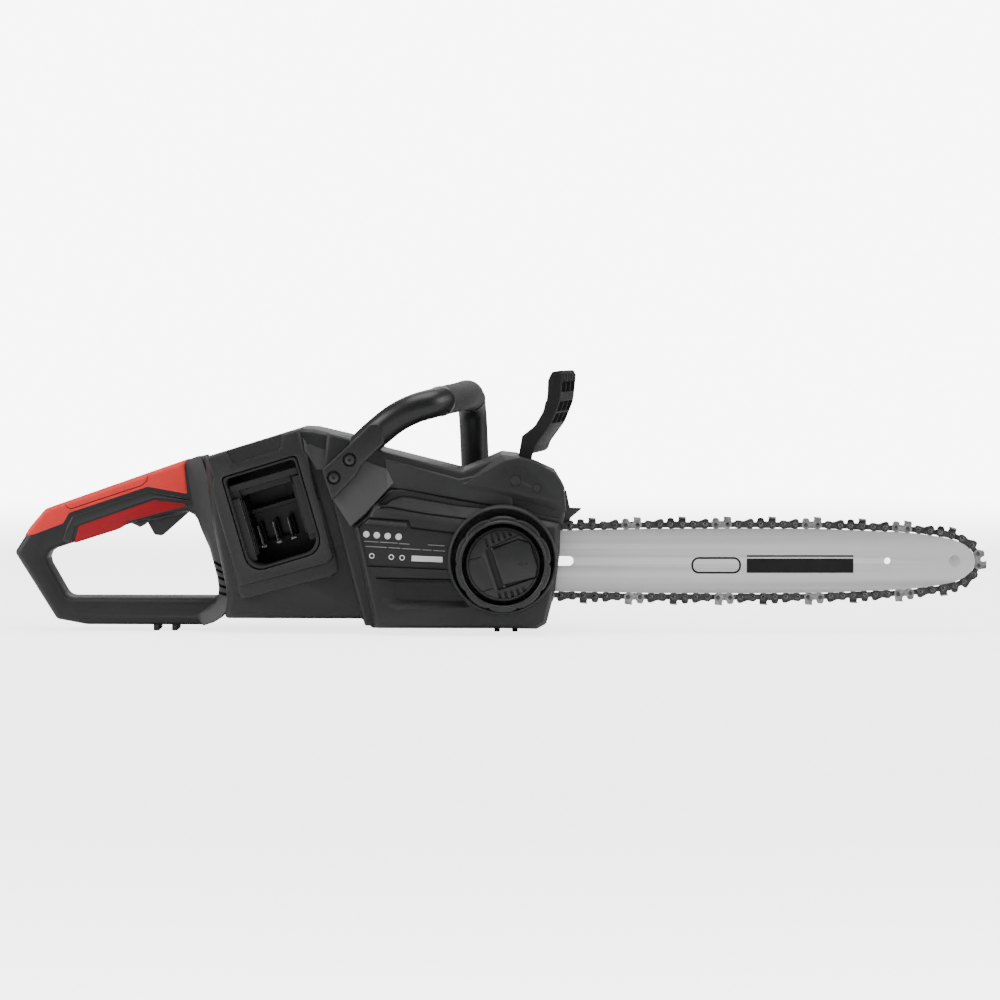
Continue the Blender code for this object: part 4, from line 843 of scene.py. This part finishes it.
def guard():
    shear, y0, y1, arm_end = 0.16, -38.0, 50.0, -16.0
    shield = GUARD_PROFILE[3:]
    levels = [(y0, 1.6), (y0 + 0.5, 0.6), (y0 + 1.8, 0), (y1 - 1.8, 0), (y1 - 0.5, 0.6), (y1, 1.6)]
    body = slab("guard_shield", shield, levels, steps=7)
    front = [Vector(p) for p in ((52.6, 218), (52.8, 206), (51.6, 196), (47.8, 184), (41.8, 173.6),
                                 (31.6, 161))]
    tools = []
    for high, low, deep in ((0.56, 1.40, 5.0), (1.52, 1.66, 2.4), (1.74, 1.88, 2.4), (1.96, 2.10, 2.4),
                            (2.2, 3.0, 5.0), (3.12, 3.9, 4.0)):
        outline = []
        for at, sink in ((high, -3), (low, -3), (low, deep), (high, deep)):
            k = min(int(at), 4)
            point = front[k] + (front[k + 1] - front[k]) * (at - k)
            along = (front[k + 1] - front[k]).normalized()
            outline.append(tuple(point + Vector((along.y, -along.x)) * (sink + 1.6)))
        for start, end in ((y0 + 4, -9), (-7, 18), (20, y1 - 4)):
            tools.append(loft("pocket", [(start, outline), (end, outline)]))
    notch = [(48.6, 208), (60, 208), (60, 219), (47.6, 218)]
    for y in (-30, -20, -10, 2, 12, 22, 34, 44):
        tools.append(loft("notch", [(y - 2.6, notch), (y + 2.6, notch)]))
    cut(body, *tools)
    for vertex in body.data.vertices:
        vertex.co.x += shear * max(0.0, vertex.co.y - place(0, y0, 0).y)
    arm = slab("arm", GUARD_PROFILE[:6] + GUARD_PROFILE[-5:],
               [(y0, 1.2), (y0 + 1, 0), (arm_end - 1, 0), (arm_end, 1.2)], steps=5)
    join(body, arm)
    cut(body, disc("bore", 12, 115, [(-45, 3.1), (0, 3.1)], 24))
    piece(body, "hand_guard", "case_plastic", "matte", stands_for=["hand_guard"])


# ---- chain
LINK_COUNT = 52
CHAIN_PHASE = 19.5          # the first rivet's distance along the chain's line
PLATE_SPAN = 0.535          # a side plate's rivet spacing, as a share of the pitch
RIVET_RISE = 3.6            # from the bar's edge to the rivets
WRAP_RADIUS = 18.4          # of the rivets round the drive sprocket
PLATE_END = 3.6             # the radius of a side plate's ends
CUTTER_TOP = [(6.4, 6.75), (12.9, 6.2), (12.9, 5.1), (7.0, 5.4)]


def rivet_line():
    """The closed line through the chain's rivets, starting along the bar's top edge towards its nose."""
    edge = [Vector((x, BAR_AXIS_Z + h)) for x, h in BAR_HALF_EDGE]
    upper = []
    for i, here in enumerate(edge):
        along = (edge[min(i + 1, len(edge) - 1)] - edge[max(i - 1, 0)]).normalized()
        upper.append(here + Vector((-along.y, along.x)) * RIVET_RISE)
    tip = Vector((upper[-1].x + 0.6, BAR_AXIS_Z))
    lower = [Vector((p.x, 2 * BAR_AXIS_Z - p.y)) for p in reversed(upper)]
    lift = math.radians(105)
    wrap = []
    for k in range(13):
        angle = -lift - (2 * math.pi - 2 * lift) * k / 12
        spot = Vector((math.cos(angle), math.sin(angle)))
        wrap.append(Vector((SPROCKET_X, BAR_AXIS_Z)) + WRAP_RADIUS * spot)
    return upper + [tip] + lower + wrap


class Line:
    """A closed line that gives the point at a distance along it."""

    def __init__(self, points):
        self.points = points + points[:1]
        self.lengths = [(b - a).length for a, b in zip(self.points, self.points[1:])]
        self.total = sum(self.lengths)

    def at(self, distance):
        distance %= self.total
        for a, b, length in zip(self.points, self.points[1:], self.lengths):
            if distance <= length:
                return a + (b - a) * (distance / length)
            distance -= length
        return self.points[0]


def arc(x, radius, start, end, steps=4):
    """Points of an arc about (x, 0), from start to end in degrees."""
    return [(x + radius * math.cos(math.radians(start + (end - start) * k / steps)),
             radius * math.sin(math.radians(start + (end - start) * k / steps))) for k in range(steps + 1)]


def link_outline(kind, span):
    """A side plate's outline in its own frame: along the chain from its first rivet, and outwards."""
    start, end = arc(0, PLATE_END, 270, 110), arc(span, PLATE_END, 70, -90)
    if kind == "plain":
        top = [(1.6, 3.3), (3.4, 2.6), (span - 3.4, 2.6), (span - 1.6, 3.3)]
    elif kind == "fin":
        top = [(1.6, 3.3), (3.2, 2.7), (5.2, 2.7), (7.2, 3.5), (9.2, 4.4), (10.6, 4.8), (12.2, 4.6), (13, 3.6)]
        end = arc(span, PLATE_END, 20, -90)
    else:
        start = arc(0, PLATE_END, 270, 160)
        top = [(-2.8, 3.0), (-2.4, 4.7), (-1.2, 5.6), (1.4, 5.5), (2.6, 4.8), (2.9, 3.6), (3.5, 2.5),
               (4.6, 1.8), (5.6, 1.8), (6.4, 2.6), (6.9, 4.0), (7.0, 5.4), (6.6, 6.7), (12.8, 6.2),
               (13.2, 4.8), (13.1, 2.6)]
        end = arc(span, PLATE_END, 20, -90)
    return start + top + end + [(span / 2 + 2, -3.1), (span / 2 - 2, -3.1)]


def add_link(work, outline, a, b, ys):
    """A link's solid between two depths, its outline drawn from rivet a towards rivet b."""
    along = (b - a).normalized()
    out = Vector((-along.y, along.x))
    spots = [a + along * u + out * v for u, v in outline]
    add_rings(work, [[place(spot.x, y, spot.y) for spot in spots] for y in sorted(ys)])


def chain():
    line = Line(rivet_line())
    pitch = line.total / LINK_COUNT
    span = PLATE_SPAN * pitch
    names = ("near_dark", "near_bright", "far_dark", "far_bright", "drive", "rivets")
    works = {name: bmesh.new() for name in names}
    for k in range(LINK_COUNT):
        a, b = line.at(CHAIN_PHASE + k * pitch), line.at(CHAIN_PHASE + k * pitch + span)
        c = line.at(CHAIN_PHASE + (k + 1) * pitch)
        near, far = (("cutter", "plain"), ("fin", "fin"), ("plain", "cutter"), ("fin", "fin"))[k % 4]
        for side, shape, end in ((-1, near, "near"), (1, far, "far")):
            shade = "bright" if shape == "cutter" and side < 0 else "dark"
            add_link(works[f"{end}_{shade}"], link_outline(shape, (b - a).length), a, b,
                     (BAR_Y + side * 0.85, BAR_Y + side * 2.3))
            if shape == "cutter":
                add_link(works[f"{end}_bright"], CUTTER_TOP, a, b, (BAR_Y - side * 0.6, BAR_Y + side * 3.0))
        gap = (c - b).length
        drive = arc(0, 2.9, 230, 110, 3) + [(gap * 0.35, 1.9), (gap * 0.65, 1.9)]
        drive += arc(gap, 2.9, 70, -50, 3) + [(gap * 0.8, -2.6), (gap * 0.2, -2.6)]
        add_link(works["drive"], drive, b, c, (BAR_Y - 0.65, BAR_Y + 0.65))
        for centre in (a, b):
            for side in (-1, 1):
                add_rings(works["rivets"], [
                    [place(x, BAR_Y + side * d, z) for x, z in circle(centre.x, centre.y, r, 10)]
                    for d, r in ((0.8, 2.0), (2.8, 2.0), (3.3, 1.5), (3.5, 0.7))])
    stands = {"near_dark": ["chain_near_links"], "far_dark": ["chain_far_links"],
              "drive": ["chain_drive_links"]}
    finishes = {"near_bright": "chain_bright", "far_bright": "chain_bright", "rivets": "rivet"}
    for name, work in works.items():
        links = new_object(f"chain_{name}", work)
        piece(links, "bar", "chain_steel", finishes.get(name, "chain_dark"), stands.get(name, ()), angle=40)


def bar_marks():
    """A plain capsule, band and line on the bar, and the rivet over its nose wheel."""
    face = -35.2
    capsule = [(159.5, 63.0, 6.9), (201.6, 63.0, 6.9), (201.6, 49, 6.9), (159.5, 49, 6.9)]
    ring = slab("bar_badge_ring", capsule, [(face + 0.3, 0), (face - 0.06, 0)], steps=8)
    cut(ring, slab("inside", capsule, [(face + 1, 1.6), (face - 1, 1.6)], steps=8))
    piece(ring, "bar", "bar_steel", "print")
    for name, low, high in (("bar_band", 49.6, 61.8), ("bar_band_line", 63.2, 64.6)):
        band = [(206.4, high), (296.8, high), (296.8, low), (206.4, low)]
        piece(loft(name, [(face + 0.3, band), (face - 0.06, band)]), "bar", "bar_steel", "print")
    rivet = disc("nose_rivet", 382.6, BAR_AXIS_Z, [(-34.4, 5.0), (-35.3, 5.0), (-35.5, 4.6)], 36)
    piece(rivet, "bar", "bar_steel")


def oil_cap():
    x, z, flutes = 18, 34, 18
    cap = disc("oil_cap_knob", x, z, [(46.2, 13.0), (46.6, 14.4), (47.4, 14.8), (54.4, 14.3), (55.6, 13.6),
                                      (56, 12.4)], 64)
    tools = [box(f"scoop_{s}", (x + s * 7 - 4.2, 51.5, 24), (x + s * 7 + 4.2, 60, 44), 1.4) for s in (-1, 1)]
    for k in range(flutes):
        angle = 2 * math.pi * k / flutes
        tools.append(disc(f"flute_{k}", x + 15.3 * math.cos(angle), z + 15.3 * math.sin(angle),
                          [(48.5, 1.1), (60, 1.1)], 10))
    cut(cap, *tools)
    piece(cap, "oil_cap", "dark_plastic", "smooth", stands_for=["oil_cap"])


def spike():
    plate = [(38.5, 84), (49, 84), (55.4, 90), (57.4, 96), (66.4, 103.4), (66.2, 104.4), (56.8, 104.6),
             (56.2, 107), (53.8, 119), (47, 121), (45.5, 92), (38.5, 90)]
    levels = [(-29.6, 0.25), (-29.3, 0), (-26.6, 0), (-26.3, 0.25)]
    steel = slab("spike_plate", [(x, z, 0.4) for x, z in plate], levels)
    piece(steel, "saw", "black_steel", stands_for=["spike_bumper"])


def feet():
    for name, centres, y0, y1, top in (("front_foot", (-5.0, 10.2), -24, 42, 3.4),
                                       ("rear_foot", (-296.4, -280.7), -14, 14, 4.4)):
        for k, x in enumerate(centres):
            rib = box(f"{name}_rib_{k}", (x - 2.4, y0, -1.5), (x + 2.4, y1, top), 0.7)
            piece(rib, "saw", "rubber", stands_for=[name] if k == 0 else ())


def spring():
    """The trigger's return spring, a coil that the trigger squashes."""
    low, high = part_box("trigger_spring")
    middle, wire, turns, sides = (low + high) / 2, 0.35, 6, 10
    radius = (high.x - low.x) / 2 / MM - wire
    route = []
    for i in range(turns * sides + 1):
        angle = 2 * math.pi * i / sides
        height = low.z + wire * MM + (high.z - low.z - 2 * wire * MM) * i / (turns * sides)
        spot = (Vector((middle.x, middle.y, height)) - ORIGIN) / MM
        route.append((spot.x + radius * math.cos(angle), spot.y + radius * math.sin(angle), spot.z))
    coil = sweep("trigger_coil", route, [wire] * len(route), sides=8)
    piece(coil, "saw", "black_steel", stands_for=["trigger_spring"])
    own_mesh(coil)


def small_parts():
    spike()
    spring()
    feet()
    for i, (x, z) in enumerate(PLATE_SCREWS):
        screw(f"plate_screw_{i}", f"handle_screw_{i + 1}", x, z, -57.0, -50.5, 4.5)
    for i, (x, z) in enumerate([(-21.0, 77.5), (-21.0, 35.0)]):
        screw(f"flange_screw_{i}", f"handle_screw_{i + 3}", x, z, 58.4, 55.5, 4.5)
    for i, (x, z) in enumerate([(-222, 22), (-140, 150), (-112, 20), (38, 118)]):
        screw(f"case_screw_{i}", f"housing_screw_{i + 1}", x, z, 50.4, 47.5, 3.6)


# ---- studio
WORLD_SOFT, WORLD_SEEN = 0.30, 8.0          # strength of the light on the object, and of the white behind it
FLOOR_NEAR, FLOOR_FAR = 0.9, 2.4            # metres over which the floor fades to that white
FLOOR_WHITE = 0.35                          # its share of that white nearer than this
LENS_MM, CAMERA_SPOT, CAMERA_PITCH = 106.3, (-2.54, -2529.57, 242.14), 87
# (name, place, aim, size, power) in metres and watts
LAMPS = [
    ("left", (-2.3, -0.7, 1.2), (-0.1, 0, 0.1), 1.6, 75), ("right", (2.3, -0.7, 1.1), (0.1, 0, 0.1), 1.6, 58),
    ("top", (0, -0.2, 2.4), (0, 0, 0.1), 1.8, 72), ("back", (0, 2.2, 1.6), (0, 0, 0.15), 1.8, 24),
]


def lit_and_seen(tree, lit, output):
    """Light reaches the object from one shader, and the camera sees a white sweep in its place."""
    seen, either = tree.nodes.new("ShaderNodeLightPath"), tree.nodes.new("ShaderNodeMixShader")
    kind = "ShaderNodeEmission" if "Material Output" in tree.nodes else "ShaderNodeBackground"
    sweep_white = add(tree, kind, Color=(1, 1, 1, 1), Strength=WORLD_SEEN)
    tree.links.new(lit, either.inputs[1])
    tree.links.new(sweep_white.outputs[0], either.inputs[2])
    tree.links.new(either.outputs[0], output)
    return seen.outputs["Is Camera Ray"], either.inputs["Fac"]


def studio():
    floor = bmesh.new()
    bmesh.ops.create_grid(floor, x_segments=1, y_segments=1, size=30)
    ground = new_object("floor", floor)
    made, tree, shader = nodes_of("floor_paper")
    shader.inputs["Base Color"].default_value = (0.95, 0.95, 0.95, 1)
    shader.inputs["Roughness"].default_value = 0.9
    camera_ray, share = lit_and_seen(tree, shader.outputs[0], tree.nodes["Material Output"].inputs["Surface"])
    spot, away = tree.nodes.new("ShaderNodeTexCoord"), tree.nodes.new("ShaderNodeVectorMath")
    away.operation = "LENGTH"
    fade = add(tree, "ShaderNodeMapRange", From_Min=FLOOR_NEAR, From_Max=FLOOR_FAR, To_Min=FLOOR_WHITE)
    both = tree.nodes.new("ShaderNodeMath")
    fade.interpolation_type, both.operation = "SMOOTHSTEP", "MULTIPLY"
    tree.links.new(spot.outputs["Object"], away.inputs[0])
    tree.links.new(away.outputs["Value"], fade.inputs["Value"])
    tree.links.new(fade.outputs["Result"], both.inputs[0])
    tree.links.new(camera_ray, both.inputs[1])
    tree.links.new(both.outputs[0], share)
    ground.data.materials.append(made)
    world = bpy.data.worlds.new("studio")
    world.use_nodes = True
    tree = world.node_tree
    soft = tree.nodes["Background"]
    soft.inputs["Color"].default_value, soft.inputs["Strength"].default_value = (1, 1, 1, 1), WORLD_SOFT
    camera_ray, share = lit_and_seen(tree, soft.outputs[0], tree.nodes["World Output"].inputs["Surface"])
    tree.links.new(camera_ray, share)
    bpy.context.scene.world = world
    for name, spot, aim, size, power in LAMPS:
        lamp = bpy.data.lights.new(name, "AREA")
        lamp.size, lamp.energy = size, power
        holder = bpy.data.objects.new(name, lamp)
        bpy.context.scene.collection.objects.link(holder)
        holder.location = spot
        holder.rotation_euler = (Vector(aim) - Vector(spot)).to_track_quat("-Z", "Y").to_euler()
    lens = bpy.data.cameras.new("camera")
    lens.lens, lens.sensor_width, lens.clip_end = LENS_MM, 36, 60
    camera = bpy.data.objects.new("camera", lens)
    bpy.context.scene.collection.objects.link(camera)
    camera.location = place(*CAMERA_SPOT)
    camera.rotation_euler = (math.radians(CAMERA_PITCH), 0, 0)
    bpy.context.scene.camera = camera


studio()
finish_frame()
right_housing()
left_housing()
grips()
cover()
panel_marks()
knob()
front_handle()
guard()
chain()
bar_marks()
oil_cap()
small_parts()
